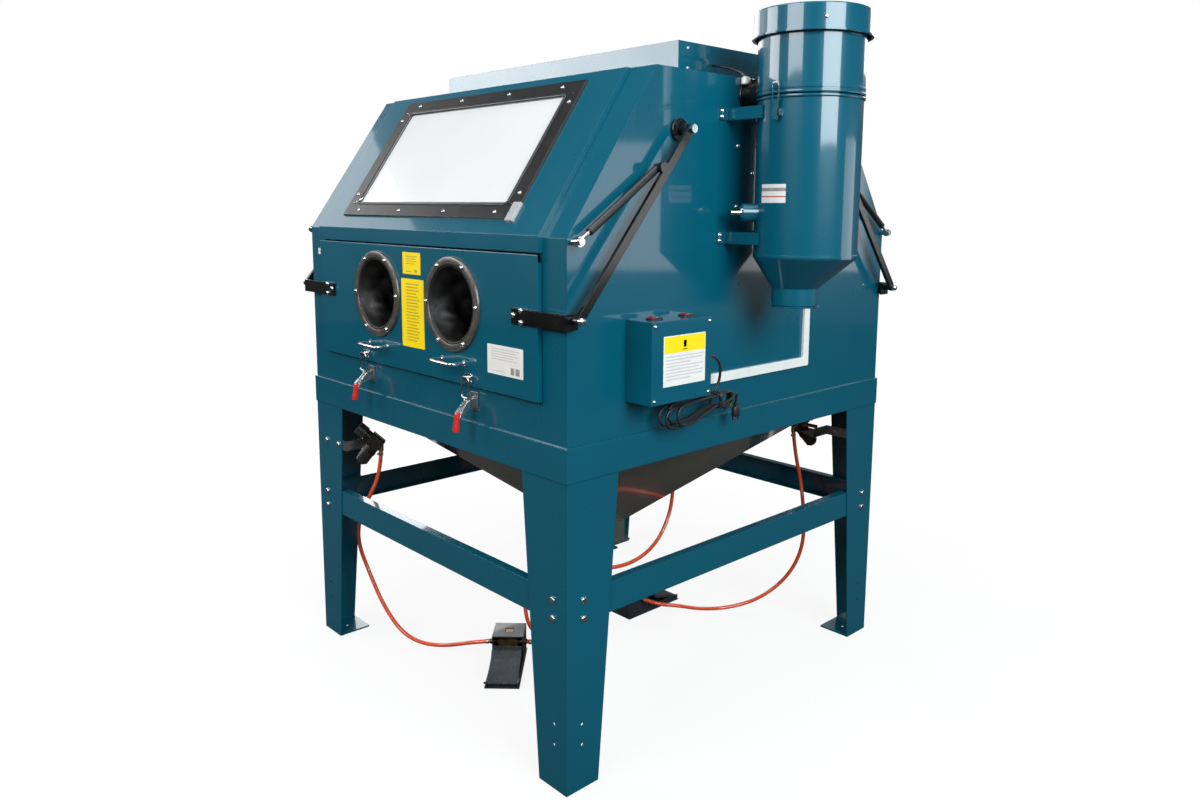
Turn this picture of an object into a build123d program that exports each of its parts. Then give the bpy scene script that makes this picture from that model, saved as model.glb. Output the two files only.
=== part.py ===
"""Double-sided blast cabinet with a side dust collector, millimetres, +Z up, floor at z = 0."""

from build123d import *
from math import atan2, cos, degrees, hypot, radians, sin, tan
import os

os.makedirs("parts", exist_ok=True)

# Cabinet shell, measured from its own centre line
SHEET = 2.5
SKIRT_X, SKIRT_Y = 600, 645
SKIRT_TOP, SKIRT_BOTTOM = 830, 750
SKIRT_LEDGE = 60
WALL_X, WALL_Y = 595, 640
FOLD_Z, ROOF_Z, ROOF_Y = 1290, 1678, 370
SLOPE = atan2(WALL_Y - ROOF_Y, ROOF_Z - FOLD_Z)
RETURN_WIDTH = 90
PANEL_RISE = 14

# Front and rear stations, drawn at the -Y end and turned half round for the other
HOOD_HALF, HOOD_BOTTOM = 515, 1257
DOOR_HALF, DOOR_BOTTOM, DOOR_TOP = 513, 922, 1253
DOOR_FACE = WALL_Y + PANEL_RISE + 1
SILL_TOP = 916
WINDOW_MIDDLE = 236
FRAME_WIDTH, FRAME_HEIGHT, FRAME_THICK = 800, 402, 6
PANE_WIDTH, PANE_HEIGHT = 700, 320
PORT_X, PORT_Z, PORT_R, RING_R = 181, 1117, 98, 118
HANDLE_Z, HANDLE_HALF, HANDLE_REACH = 976, 48, 40
LATCH_X, LATCH_PIVOT_Y, LATCH_PIVOT_Z = 250, -656, 880

# Door lift: arm from the flange pivot to the bracket bolt, gas strut from stud to arm
PIVOT = (-296, 1537)
ARM_FOOT = (-641, 1117)
ARM_IN, ARM_OUT, ARM_WIDTH = 630, 640, 20
PIN_R, FIT = 7, 0.06
STUD = (-626, 1284)
STRUT_TOP = (-387, 1446)
STRUT_X, ROD_R, TUBE_R, ROD_SHOWN = 618, 4, 9, 36
STRUT_LENGTH = hypot(STRUT_TOP[0] - STUD[0], STRUT_TOP[1] - STUD[1])
STRUT_DIR = (0, (STRUT_TOP[0] - STUD[0]) / STRUT_LENGTH, (STRUT_TOP[1] - STUD[1]) / STRUT_LENGTH)

# Stand and hopper
LEG_OUT_X, LEG_OUT_Y, LEG_SHEET = SKIRT_X - SHEET, SKIRT_Y - SHEET, 3
LEG_TOP, LEG_WIDE, LEG_NARROW = 818, 160, 100
RAIL_LOW, RAIL_HIGH, RAIL_FLANGE = 410, 485, 25
BOLT_X, BOLT_Y, BOLT_LEVELS, BOLT_R = 549, 591, (422, 467), 5
ANCHOR_X, ANCHOR_Y, ANCHOR_R = 548, 593, 7
HOPPER_TOP, HOPPER_APEX, OUTLET_TOP, OUTLET_BOTTOM, OUTLET_HALF = 825, 305, 366, 300, 65

# Lamp housing on the roof
LAMP_X, LAMP_Y, LAMP_TOP = 500, 195, 1764

# Dust collector on the right side
DRUM_X, DRUM_R, DRUM_BOTTOM, SEAM_Z = 755, 126, 1236, 1620
HEAD_R, HEAD_TOP = 128, 1782
LID_R, LID_FLANGE_R, LID_BOTTOM, LID_TOP = 139, 143, 1756, 1818
COLLAR_R, COLLAR_TOP, COLLAR_BOTTOM, COLLAR_SHIFT = 58, 1160, 1118, (-20, -7)
BRACKET_LEVELS, BRACKET_HEIGHT, BRACKET_Y = (1267, 1569), 30, 118
DUCT_Y, DUCT_Z, DUCT_R = -32, 1636, 35
DRUM_LATCH_Z = 1578

# Control box on the right side
BOX_OUT, BOX_FRONT, BOX_REAR, BOX_LOW, BOX_HIGH = 676, -462, -256, 912, 1103
ROCKER_X, ROCKER_YS, ROCKER_TILT = 636, (-410, -300), 9
GLAND_X, GLAND_Z, GLAND_LENGTH = 640, 1000, 12

# Air line
REG_X, REG_Y, REG_Z = -365, -572, 648
KNOB_DIR, BOWL_DIR = (-0.399, -0.618, 0.678), (-0.421, -0.461, -0.781)
KNOB_START, KNOB_LENGTH, BOWL_LENGTH = 40, 30, 80
OUTLET_X, OUTLET_Y, OUTLET_Z = -350, -564, 622
INLET_Y, INLET_Z, INLET_END = -562, 657, -440
PEDAL_LENGTH, PEDAL_WIDTH, PORT_BACK, PORT_HEIGHT, PORT_SIDE = 240, 100, 178, 55, 56
HOSE_R, CORD_R = 6, 3.5

# The cabinet's centre line sits left of the origin, which is under the middle of the whole object
RIGHT_REACH, LEFT_REACH = DRUM_X + LID_FLANGE_R, ARM_OUT + 12
CABINET_X = (LEFT_REACH - RIGHT_REACH) / 2


def save(piece, name):
    piece.label = name
    shifted = Pos(CABINET_X, 0, 0) * piece
    shifted.label = name
    export_step(shifted, f"parts/{name}.step")


def both_ends(piece):
    """The front-end piece and the same piece at the rear end."""
    with BuildPart() as pair:
        add(piece)
        add(piece, rotation=(0, 0, 180))
    return pair.part


def rear_end(piece):
    with BuildPart() as turned:
        add(piece, rotation=(0, 0, 180))
    return turned.part


def fold_point(inset):
    return (-(WALL_Y - inset), FOLD_Z - inset * tan(SLOPE / 2))


def slope_point(inset, z):
    y, fold_z = fold_point(inset)
    return (y + (z - fold_z) * tan(SLOPE), z)


def profile(inset, bottom):
    """Closed side outline of the shell, set in by the given amount."""
    front = [(-(WALL_Y - inset), bottom), fold_point(inset), slope_point(inset, ROOF_Z - inset)]
    return front + [(-y, z) for y, z in reversed(front)]


def band(outer, inner, bottom, top):
    """Outline between two offsets of the front wall and slope."""
    out = [(-(WALL_Y - outer), bottom), fold_point(outer), slope_point(outer, top)]
    back = [(-(WALL_Y - inner), bottom), fold_point(inner), slope_point(inner, top)]
    return out + back[::-1]


def slope_plane(height):
    """Plane on the front slope, origin on the fold line, local y up the slope."""
    normal = (0, -cos(SLOPE), sin(SLOPE))
    return Plane(origin=(0, -WALL_Y, FOLD_Z), x_dir=(1, 0, 0), z_dir=normal).offset(height)


def front_plane(reach):
    return Plane.XZ.offset(reach)


def side_panel(side):
    with BuildPart() as panel:
        with BuildSketch(Plane.YZ.offset(side * WALL_X)):
            Polygon(*profile(0, SKIRT_TOP), align=None)
        extrude(amount=-side * RETURN_WIDTH)
        with BuildSketch(Plane.YZ.offset(side * (WALL_X - SHEET))):
            Polygon(*profile(SHEET, SKIRT_TOP - 1), align=None)
        extrude(amount=-side * RETURN_WIDTH, mode=Mode.SUBTRACT)
        if side > 0:
            with BuildSketch(Plane.YZ.offset(WALL_X)):
                with Locations((DUCT_Y, DUCT_Z)):
                    Circle(DUCT_R - 5)
            extrude(amount=-SHEET, mode=Mode.SUBTRACT)
    return panel.part


def end_panels():
    """Raised hood with the window opening, and the fixed sill below the door."""
    hood_skin = PANEL_RISE - SHEET
    with BuildPart() as end:
        with BuildSketch(Plane.YZ.offset(-HOOD_HALF)):
            Polygon(*band(-PANEL_RISE, 0, HOOD_BOTTOM, ROOF_Z), align=None)
        extrude(amount=2 * HOOD_HALF)
        with BuildSketch(Plane.YZ.offset(SHEET - HOOD_HALF)):
            Polygon(*band(-hood_skin, 1, HOOD_BOTTOM + SHEET, ROOF_Z - SHEET), align=None)
        extrude(amount=2 * (HOOD_HALF - SHEET), mode=Mode.SUBTRACT)
        with BuildSketch(slope_plane(0)):
            with Locations((0, WINDOW_MIDDLE)):
                Rectangle(PANE_WIDTH + 20, PANE_HEIGHT + 20)
        extrude(amount=PANEL_RISE + 1, mode=Mode.SUBTRACT)
        sill_half = WALL_X - RETURN_WIDTH
        sill_middle = (SKIRT_TOP + SILL_TOP) / 2
        with BuildSketch(front_plane(WALL_Y - SHEET)):
            with Locations((0, sill_middle)):
                Rectangle(2 * sill_half, SILL_TOP - SKIRT_TOP)
        extrude(amount=SHEET)
        with BuildSketch(front_plane(WALL_Y - 20)):
            with Locations((0, SILL_TOP - SHEET / 2)):
                Rectangle(2 * sill_half, SHEET)
        extrude(amount=20 - SHEET)
    return both_ends(end.part)


def window_frames():
    with BuildPart() as frame:
        with BuildSketch(slope_plane(PANEL_RISE)):
            with Locations((0, WINDOW_MIDDLE)):
                Rectangle(FRAME_WIDTH, FRAME_HEIGHT)
                Rectangle(PANE_WIDTH, PANE_HEIGHT, mode=Mode.SUBTRACT)
        extrude(amount=FRAME_THICK)
        chamfer(frame.faces().sort_by(Axis((0, 0, 0), (0, -cos(SLOPE), sin(SLOPE))))[-1].edges(), 1)
    return both_ends(frame.part)


def window_panes():
    with BuildPart() as pane:
        with BuildSketch(slope_plane(PANEL_RISE - 4)):
            with Locations((0, WINDOW_MIDDLE)):
                Rectangle(PANE_WIDTH + 16, PANE_HEIGHT + 16)
        extrude(amount=4)
    return both_ends(pane.part)


def roof_panel():
    with BuildPart() as roof:
        with BuildSketch(Plane.XY.offset(ROOF_Z)):
            Rectangle(2 * (HOOD_HALF + 5), 2 * (ROOF_Y - 5))
            Rectangle(2 * (LAMP_X - 50), 2 * (LAMP_Y - 45), mode=Mode.SUBTRACT)
        extrude(amount=SHEET)
    return roof.part


def light_housing():
    base = ROOF_Z + SHEET
    with BuildPart() as housing:
        with BuildSketch(Plane.XY.offset(base)):
            Rectangle(2 * LAMP_X, 2 * LAMP_Y)
        extrude(amount=LAMP_TOP - base)
        with BuildSketch(Plane.XY.offset(base)):
            Rectangle(2 * (LAMP_X - 2), 2 * (LAMP_Y - 2))
        extrude(amount=LAMP_TOP - base - 2, mode=Mode.SUBTRACT)
    return housing.part


def light_lens():
    with BuildPart() as lens:
        with BuildSketch(Plane.XY.offset(ROOF_Z - 4)):
            Rectangle(2 * (LAMP_X - 40), 2 * (LAMP_Y - 35))
        extrude(amount=4)
    return lens.part


def lamp_tubes():
    with BuildPart() as tubes:
        with BuildSketch(Plane.YZ.offset(50 - LAMP_X)):
            with GridLocations(140, 0, 2, 1):
                with Locations((0, LAMP_TOP - 35)):
                    Circle(13)
        extrude(amount=2 * (LAMP_X - 50))
    return tubes.part


def skirt_frame():
    with BuildPart() as skirt:
        with BuildSketch(Plane.XY.offset(SKIRT_BOTTOM)):
            Rectangle(2 * SKIRT_X, 2 * SKIRT_Y)
            Rectangle(2 * (SKIRT_X - SHEET), 2 * (SKIRT_Y - SHEET), mode=Mode.SUBTRACT)
        extrude(amount=SKIRT_TOP - SKIRT_BOTTOM)
        with BuildSketch(Plane.XY.offset(SKIRT_TOP - SHEET)):
            Rectangle(2 * SKIRT_X, 2 * SKIRT_Y)
            Rectangle(2 * (SKIRT_X - SKIRT_LEDGE), 2 * (SKIRT_Y - SKIRT_LEDGE), mode=Mode.SUBTRACT)
        extrude(amount=SHEET)
        chamfer(skirt.faces().sort_by(Axis.Z)[-1].outer_wire().edges(), 1)
    return skirt.part


def hopper_half(z, outer):
    """Half width along X or Y of the hopper wall at a height."""
    return outer * (z - HOPPER_APEX) / (HOPPER_TOP - HOPPER_APEX)


def hopper():
    top_x, top_y = WALL_X - SHEET, WALL_Y - SHEET
    with BuildPart() as body:
        for inset, mode in ((0, Mode.ADD), (SHEET, Mode.SUBTRACT)):
            with BuildSketch(Plane.XY.offset(HOPPER_TOP)):
                Rectangle(2 * (top_x - inset), 2 * (top_y - inset))
            with BuildSketch(Plane.XY.offset(OUTLET_TOP)):
                Rectangle(2 * (OUTLET_HALF - inset), 2 * (OUTLET_HALF - inset))
            loft(mode=mode)
            with BuildSketch(Plane.XY.offset(OUTLET_BOTTOM)):
                Rectangle(2 * (OUTLET_HALF - inset), 2 * (OUTLET_HALF - inset))
            extrude(amount=OUTLET_TOP - OUTLET_BOTTOM, mode=mode)
        with BuildSketch(Plane.XY.offset(OUTLET_BOTTOM)):
            Rectangle(2 * OUTLET_HALF + 24, 2 * OUTLET_HALF + 24)
            Rectangle(2 * (OUTLET_HALF - SHEET), 2 * (OUTLET_HALF - SHEET), mode=Mode.SUBTRACT)
        extrude(amount=4)
    return body.part


def drain_door():
    """Drop flap under the outlet, hinged along its left edge."""
    with BuildPart() as flap:
        with BuildSketch(Plane.XY.offset(OUTLET_BOTTOM - 5)):
            Rectangle(2 * OUTLET_HALF + 20, 2 * OUTLET_HALF + 20)
        extrude(amount=4)
        with BuildSketch(Plane.XZ.offset(-OUTLET_HALF)):
            with Locations((-OUTLET_HALF - 12, OUTLET_BOTTOM - 6)):
                Circle(5)
        extrude(amount=2 * OUTLET_HALF)
        with BuildSketch(Plane.XZ.offset(-8)):
            with Locations((OUTLET_HALF + 16, OUTLET_BOTTOM - 6)):
                Rectangle(24, 5)
        extrude(amount=16)
    return flap.part


def work_grate():
    half_x, half_y, pitch = 575, 620, 50
    with BuildPart() as grate:
        with BuildSketch(Plane.XY.offset(SKIRT_TOP + 2)):
            Rectangle(2 * half_x, 2 * half_y)
            Rectangle(2 * half_x - 50, 2 * half_y - 50, mode=Mode.SUBTRACT)
            with GridLocations(pitch, 0, 21, 1):
                Rectangle(12, 2 * half_y - 40)
            with GridLocations(0, 300, 1, 3):
                Rectangle(2 * half_x - 40, 14)
        extrude(amount=8)
    return grate.part


def leg_outline(outer):
    """Tapered flange outline, inward from the corner on the low side of its plane."""
    inner, foot = outer + LEG_WIDE, outer + LEG_NARROW
    return (outer, 0), (outer, LEG_TOP), (inner, LEG_TOP), (inner, SKIRT_BOTTOM), (foot, 0)


def legs():
    with BuildPart() as leg:
        with BuildSketch(front_plane(LEG_OUT_Y - LEG_SHEET)):
            Polygon(*[(-x, z) for x, z in leg_outline(-LEG_OUT_X)], align=None)
        extrude(amount=LEG_SHEET)
        with BuildSketch(Plane.YZ.offset(LEG_OUT_X)):
            Polygon(*leg_outline(-LEG_OUT_Y), align=None)
        extrude(amount=-LEG_SHEET)
        with BuildSketch(Plane.XY):
            with Locations((LEG_OUT_X - LEG_NARROW / 2, LEG_NARROW / 2 - LEG_OUT_Y)):
                Rectangle(LEG_NARROW, LEG_NARROW)
            with Locations((ANCHOR_X, -ANCHOR_Y)):
                Circle(ANCHOR_R, mode=Mode.SUBTRACT)
        extrude(amount=5)
        with BuildSketch(front_plane(LEG_OUT_Y - LEG_SHEET)):
            with Locations(*[(BOLT_X, z) for z in BOLT_LEVELS]):
                Circle(BOLT_R + 0.1)
            with Locations((BOLT_X + 3, 112), (BOLT_X + 3, 163)):
                Circle(4)
        extrude(amount=LEG_SHEET, mode=Mode.SUBTRACT)
        with BuildSketch(Plane.YZ.offset(LEG_OUT_X)):
            with Locations(*[(-BOLT_Y, z) for z in BOLT_LEVELS]):
                Circle(BOLT_R + 0.1)
            with Locations((-BOLT_Y - 3, 112), (-BOLT_Y - 3, 163)):
                Circle(4)
        extrude(amount=-LEG_SHEET, mode=Mode.SUBTRACT)
        mirror(about=Plane.YZ)
    drilled = bracket_drill()
    with BuildPart() as stand:
        add(leg.part)
        add(drilled, mode=Mode.SUBTRACT)
    return both_ends(stand.part)


BRACKET_BOLTS = (-541, -467)
BRACKET_BOLT_Z, BRACKET_SHEET = 633, 3


def bracket_drill():
    with BuildPart() as drill:
        with BuildSketch(front_plane(LEG_OUT_Y - LEG_SHEET - 1)):
            with Locations(*[(x, BRACKET_BOLT_Z) for x in BRACKET_BOLTS]):
                Circle(BOLT_R + 0.1)
        extrude(amount=LEG_SHEET + 2)
    return drill.part


def stretchers():
    """Channels between the legs, webs outward, flanges turned in."""
    middle, tall = (RAIL_LOW + RAIL_HIGH) / 2, RAIL_HIGH - RAIL_LOW
    half_front, half_side = 572, 612
    with BuildPart() as rails:
        web_y = LEG_OUT_Y - LEG_SHEET
        with BuildSketch(Plane.YZ.offset(-half_front)):
            with Locations((RAIL_FLANGE / 2 - web_y, middle)):
                Rectangle(RAIL_FLANGE, tall)
            with Locations((RAIL_FLANGE / 2 - web_y + SHEET, middle)):
                Rectangle(RAIL_FLANGE, tall - 2 * SHEET, mode=Mode.SUBTRACT)
        extrude(amount=2 * half_front)
        with BuildSketch(front_plane(web_y - SHEET)):
            with Locations(*[(s * BOLT_X, z) for s in (-1, 1) for z in BOLT_LEVELS]):
                Circle(BOLT_R + 0.1)
        extrude(amount=SHEET, mode=Mode.SUBTRACT)
        web_x = LEG_OUT_X - LEG_SHEET
        with BuildSketch(front_plane(half_side)):
            with Locations((web_x - RAIL_FLANGE / 2, middle)):
                Rectangle(RAIL_FLANGE, tall)
            with Locations((web_x - RAIL_FLANGE / 2 - SHEET, middle)):
                Rectangle(RAIL_FLANGE, tall - 2 * SHEET, mode=Mode.SUBTRACT)
        extrude(amount=-2 * half_side)
        with BuildSketch(Plane.YZ.offset(web_x)):
            with Locations(*[(s * BOLT_Y, z) for s in (-1, 1) for z in BOLT_LEVELS]):
                Circle(BOLT_R + 0.1)
        extrude(amount=-SHEET, mode=Mode.SUBTRACT)
    return both_ends(rails.part)


def bolt(plane, grip):
    """Dome-head bolt and nut through the leg and the piece behind it, head outward."""
    with BuildPart() as fastener:
        with BuildSketch(plane):
            Circle(8.5)
        extrude(amount=5)
        fillet(fastener.faces().sort_by(Axis((0, 0, 0), plane.z_dir))[-1].edges(), 3)
        with BuildSketch(plane):
            Circle(BOLT_R)
        extrude(amount=-grip - 8)
        with BuildSketch(plane.offset(-grip)):
            RegularPolygon(8, 6)
        extrude(amount=-6)
    return fastener.part


def frame_bolts():
    planes = []
    for side in (-1, 1):
        for z in BOLT_LEVELS:
            planes.append(Plane(origin=(side * BOLT_X, -LEG_OUT_Y, z), z_dir=(0, -1, 0)))
            planes.append(Plane(origin=(LEG_OUT_X, side * BOLT_Y, z), z_dir=(1, 0, 0)))
    bolts = [bolt(plane, LEG_SHEET + SHEET) for plane in planes]
    for x in BRACKET_BOLTS:
        plane = Plane(origin=(x, -LEG_OUT_Y, BRACKET_BOLT_Z), z_dir=(0, -1, 0))
        bolts.append(bolt(plane, LEG_SHEET + BRACKET_SHEET))
    with BuildPart() as fasteners:
        add(bolts)
    return both_ends(fasteners.part)


def lift_pivots():
    """Flanged pivot with its pin, and the strut's ball stud, on each side of the front end."""
    with BuildPart() as pivot:
        with BuildSketch(Plane.YZ.offset(WALL_X)):
            with Locations(PIVOT):
                Circle(27)
        extrude(amount=8)
        fillet(pivot.faces().sort_by(Axis.X)[-1].edges(), 1.5)
        for reach, radius in ((ARM_IN - 0.5, 13), (ARM_OUT + 0.5, PIN_R)):
            with BuildSketch(Plane.YZ.offset(WALL_X)):
                with Locations(PIVOT):
                    Circle(radius)
            extrude(amount=reach - WALL_X)
        with BuildSketch(Plane.YZ.offset(ARM_OUT + 0.5)):
            with Locations(PIVOT):
                Circle(10)
        extrude(amount=7)
        with BuildSketch(Plane.YZ.offset(WALL_X + 8)):
            with Locations(PIVOT):
                with PolarLocations(20, 3, start_angle=90):
                    RegularPolygon(5, 6)
        extrude(amount=4)
        for start, reach, radius in ((WALL_X, STRUT_X - 6, 8), (STRUT_X - 6, STRUT_X + 6, 5),
                                     (STRUT_X + 6, STRUT_X + 11, 8)):
            with BuildSketch(Plane.YZ.offset(start)):
                with Locations(STUD):
                    Circle(radius)
            extrude(amount=reach - start)
        mirror(about=Plane.YZ)
    return both_ends(pivot.part)


def lift_arms():
    angle = degrees(atan2(ARM_FOOT[1] - PIVOT[1], ARM_FOOT[0] - PIVOT[0]))
    span = hypot(ARM_FOOT[0] - PIVOT[0], ARM_FOOT[1] - PIVOT[1])
    middle = ((PIVOT[0] + ARM_FOOT[0]) / 2, (PIVOT[1] + ARM_FOOT[1]) / 2)
    with BuildPart() as arm:
        with BuildSketch(Plane.YZ.offset(ARM_IN)):
            with Locations(Location((middle[0], middle[1], 0), (0, 0, angle))):
                SlotCenterToCenter(span, ARM_WIDTH)
            with Locations(STRUT_TOP):
                Circle(13)
            with Locations(PIVOT):
                Circle(PIN_R + FIT, mode=Mode.SUBTRACT)
        extrude(amount=ARM_OUT - ARM_IN)
        with BuildSketch(front_plane(DOOR_FACE)):
            with Locations((519, PORT_Z - 5)):
                Rectangle(186, 36)
        extrude(amount=6)
        with BuildSketch(Plane.YZ.offset(606)):
            with Locations((ARM_FOOT[0] - 1, PORT_Z - 5)):
                Rectangle(39, 36)
        extrude(amount=6)
        with BuildSketch(Plane.YZ.offset(612)):
            with Locations(ARM_FOOT):
                Circle(9)
        extrude(amount=ARM_IN - 612)
        with BuildSketch(Plane.YZ.offset(ARM_OUT)):
            with Locations(ARM_FOOT):
                Circle(9)
        extrude(amount=12)
        fillet(arm.faces().sort_by(Axis.X)[-1].edges(), 6)
        mirror(about=Plane.YZ)
    return arm.part


def strut_plane(side, along):
    origin = (side * STRUT_X, STUD[0] + STRUT_DIR[1] * along, STUD[1] + STRUT_DIR[2] * along)
    return Plane(origin=origin, x_dir=(1, 0, 0), z_dir=STRUT_DIR)


def strut_rods():
    with BuildPart() as rods:
        for side in (-1, 1):
            with BuildSketch(Plane.YZ.offset(side * STRUT_X - 5.5)):
                with Locations(STUD):
                    Circle(11)
            extrude(amount=11)
            with BuildSketch(strut_plane(side, 8)):
                Circle(ROD_R)
            extrude(amount=220)
            with BuildSketch(strut_plane(side, 218)):
                Circle(6.6)
            extrude(amount=10)
            with BuildSketch(Plane.YZ.offset(side * STRUT_X - 6)):
                with Locations(STUD):
                    Circle(5 + FIT)
            extrude(amount=12, mode=Mode.SUBTRACT)
    return rods.part


def strut_tubes():
    with BuildPart() as tubes:
        for side in (-1, 1):
            with BuildSketch(strut_plane(side, ROD_SHOWN)):
                Circle(TUBE_R)
            extrude(amount=STRUT_LENGTH - ROD_SHOWN - 6)
            with BuildSketch(strut_plane(side, ROD_SHOWN)):
                Circle(ROD_R + FIT)
            extrude(amount=20, mode=Mode.SUBTRACT)
            with BuildSketch(strut_plane(side, ROD_SHOWN + 8)):
                Circle(7)
            extrude(amount=STRUT_LENGTH - ROD_SHOWN - 28, mode=Mode.SUBTRACT)
            with BuildSketch(Plane.YZ.offset(side * (STRUT_X - 6))):
                with Locations(STRUT_TOP):
                    Circle(10)
            extrude(amount=side * 12)
            with BuildSketch(Plane.YZ.offset(side * (STRUT_X + 6))):
                with Locations(STRUT_TOP):
                    Circle(5)
            extrude(amount=side * 5.5)
    return tubes.part


def door():
    rim_top = 1236
    with BuildPart() as leaf:
        with BuildSketch(front_plane(DOOR_FACE - SHEET)):
            with Locations((0, (DOOR_BOTTOM + DOOR_TOP) / 2)):
                Rectangle(2 * DOOR_HALF, DOOR_TOP - DOOR_BOTTOM)
        extrude(amount=SHEET)
        with BuildSketch(front_plane(WALL_Y + 1)):
            with Locations((0, (DOOR_BOTTOM + rim_top) / 2)):
                Rectangle(2 * DOOR_HALF, rim_top - DOOR_BOTTOM)
                Rectangle(2 * (DOOR_HALF - SHEET), rim_top - DOOR_BOTTOM - 2 * SHEET, mode=Mode.SUBTRACT)
        extrude(amount=DOOR_FACE - SHEET - WALL_Y - 1)
        with BuildSketch(front_plane(DOOR_FACE - SHEET)):
            with Locations((-PORT_X, PORT_Z), (PORT_X, PORT_Z)):
                Circle(PORT_R)
        extrude(amount=SHEET, mode=Mode.SUBTRACT)
        fillet(leaf.faces().sort_by(Axis.Y)[0].outer_wire().edges(), 1.5)
    return leaf.part


def pull_handle(x):
    """Round-bar bow standing straight out of the door."""
    foot_y, bow_y = -DOOR_FACE, -DOOR_FACE - HANDLE_REACH
    left, right = x - HANDLE_HALF, x + HANDLE_HALF
    with BuildPart() as handle:
        with BuildLine():
            FilletPolyline(
                (left, foot_y, HANDLE_Z),
                (left, bow_y, HANDLE_Z),
                (right, bow_y, HANDLE_Z),
                (right, foot_y, HANDLE_Z),
                radius=10,
            )
        with BuildSketch(Plane(origin=(left, foot_y, HANDLE_Z), z_dir=(0, -1, 0))):
            Circle(4)
        sweep()
        with BuildSketch(front_plane(DOOR_FACE)):
            with Locations((left, HANDLE_Z), (right, HANDLE_Z)):
                Circle(8)
        extrude(amount=3)
    return handle.part


def latch_loop(x):
    """Keeper plate on the door with the wire loop that the latch claw holds."""
    loop_y, top, low = -DOOR_FACE - 13, 942, 893
    with BuildPart() as loop:
        with BuildSketch(front_plane(DOOR_FACE)):
            with Locations((x, 941)):
                Rectangle(32, 24)
        extrude(amount=3)
        with BuildSketch(front_plane(DOOR_FACE)):
            with Locations((x, top)):
                Rectangle(24, 9)
        extrude(amount=16)
        with BuildSketch(front_plane(-loop_y - 2)):
            with Locations((x, (top + low) / 2)):
                RectangleRounded(34, top - low + 4, 6)
                RectangleRounded(26, top - low - 4, 3, mode=Mode.SUBTRACT)
        extrude(amount=4)
    return loop.part


def door_fittings():
    handles = [pull_handle(x) for x in (-PORT_X, PORT_X)]
    loops = [latch_loop(x) for x in (-LATCH_X, LATCH_X)]
    with BuildPart() as fittings:
        with BuildSketch(front_plane(DOOR_FACE)):
            with Locations((-PORT_X, PORT_Z), (PORT_X, PORT_Z)):
                Circle(RING_R)
                Circle(PORT_R, mode=Mode.SUBTRACT)
        extrude(amount=7)
        with BuildSketch(front_plane(DOOR_FACE + 7)):
            with Locations((-PORT_X, PORT_Z), (PORT_X, PORT_Z)):
                with PolarLocations(108, 6):
                    Circle(5)
        extrude(amount=4)
        add(handles)
        add(loops)
        with BuildSketch(front_plane(DOOR_FACE + 6)):
            for side in (-1, 1):
                with Locations((side * 443, 1115), (side * 473, 1124), (side * 473, 1102)):
                    Circle(6)
        extrude(amount=4)
    return fittings.part


def glove_sections():
    """Depth, centre height and radius of the sleeve from the ring to the closed hand."""
    return ((654, PORT_Z, 95), (600, 1098, 88), (560, 1070, 82), (460, 1030, 64), (380, 1008, 50), (325, 998, 34))


def glove_body(x, wall):
    with BuildPart() as body:
        for depth, z, radius in glove_sections():
            with BuildSketch(front_plane(depth)):
                with Locations((x, z)):
                    Circle(radius - wall)
        loft()
    return body.part


def gloves():
    """Rubber sleeves hung behind the ports, open at the ring and closed at the hand."""
    wall = 3
    outsides = [glove_body(x, 0) for x in (-PORT_X, PORT_X)]
    insides = [glove_body(x, wall) for x in (-PORT_X, PORT_X)]
    with BuildPart() as pair:
        add(outsides)
        add(insides, mode=Mode.SUBTRACT)
        with BuildSketch(front_plane(325)):
            with Locations((-PORT_X, 998), (PORT_X, 998)):
                Circle(34)
        extrude(amount=wall)
    return pair.part


def latch_base(x):
    with BuildPart() as base:
        with BuildSketch(front_plane(WALL_Y)):
            with Locations((x, 883)):
                Rectangle(36, 44)
        extrude(amount=3)
        for ear in (-10.5, 10.5):
            with BuildSketch(Plane.YZ.offset(x + ear - 1.5)):
                with Locations((-653, LATCH_PIVOT_Z)):
                    RectangleRounded(22, 24, 6)
            extrude(amount=3)
        with BuildSketch(Plane.YZ.offset(x - 12)):
            with Locations((LATCH_PIVOT_Y, LATCH_PIVOT_Z)):
                Circle(3)
        extrude(amount=24)
    return base.part


def latch_bases():
    front = [latch_base(x) for x in (-LATCH_X, LATCH_X)]
    with BuildPart() as bases:
        add(front)
    return both_ends(bases.part)


def latch_lever(x):
    """Claw hub, shank and hanging grip on one pivot."""
    with BuildPart() as lever:
        with BuildSketch(Plane.YZ.offset(x - 6)):
            with Locations((LATCH_PIVOT_Y, LATCH_PIVOT_Z)):
                Circle(7)
            Polygon(
                (LATCH_PIVOT_Y, LATCH_PIVOT_Z + 3),
                (LATCH_PIVOT_Y, LATCH_PIVOT_Z - 6),
                (-686, 856),
                (-693, 818),
                (-700, 818),
                (-695, 862),
                (-684, 872),
                align=None,
            )
        extrude(amount=12)
        fillet(lever.edges().filter_by(Axis.X).sort_by(Axis.Z)[:2], 3)
        with BuildSketch(Plane.YZ.offset(x - 7)):
            with Locations((LATCH_PIVOT_Y, LATCH_PIVOT_Z)):
                Circle(3 + FIT)
        extrude(amount=14, mode=Mode.SUBTRACT)
    return lever.part


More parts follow.
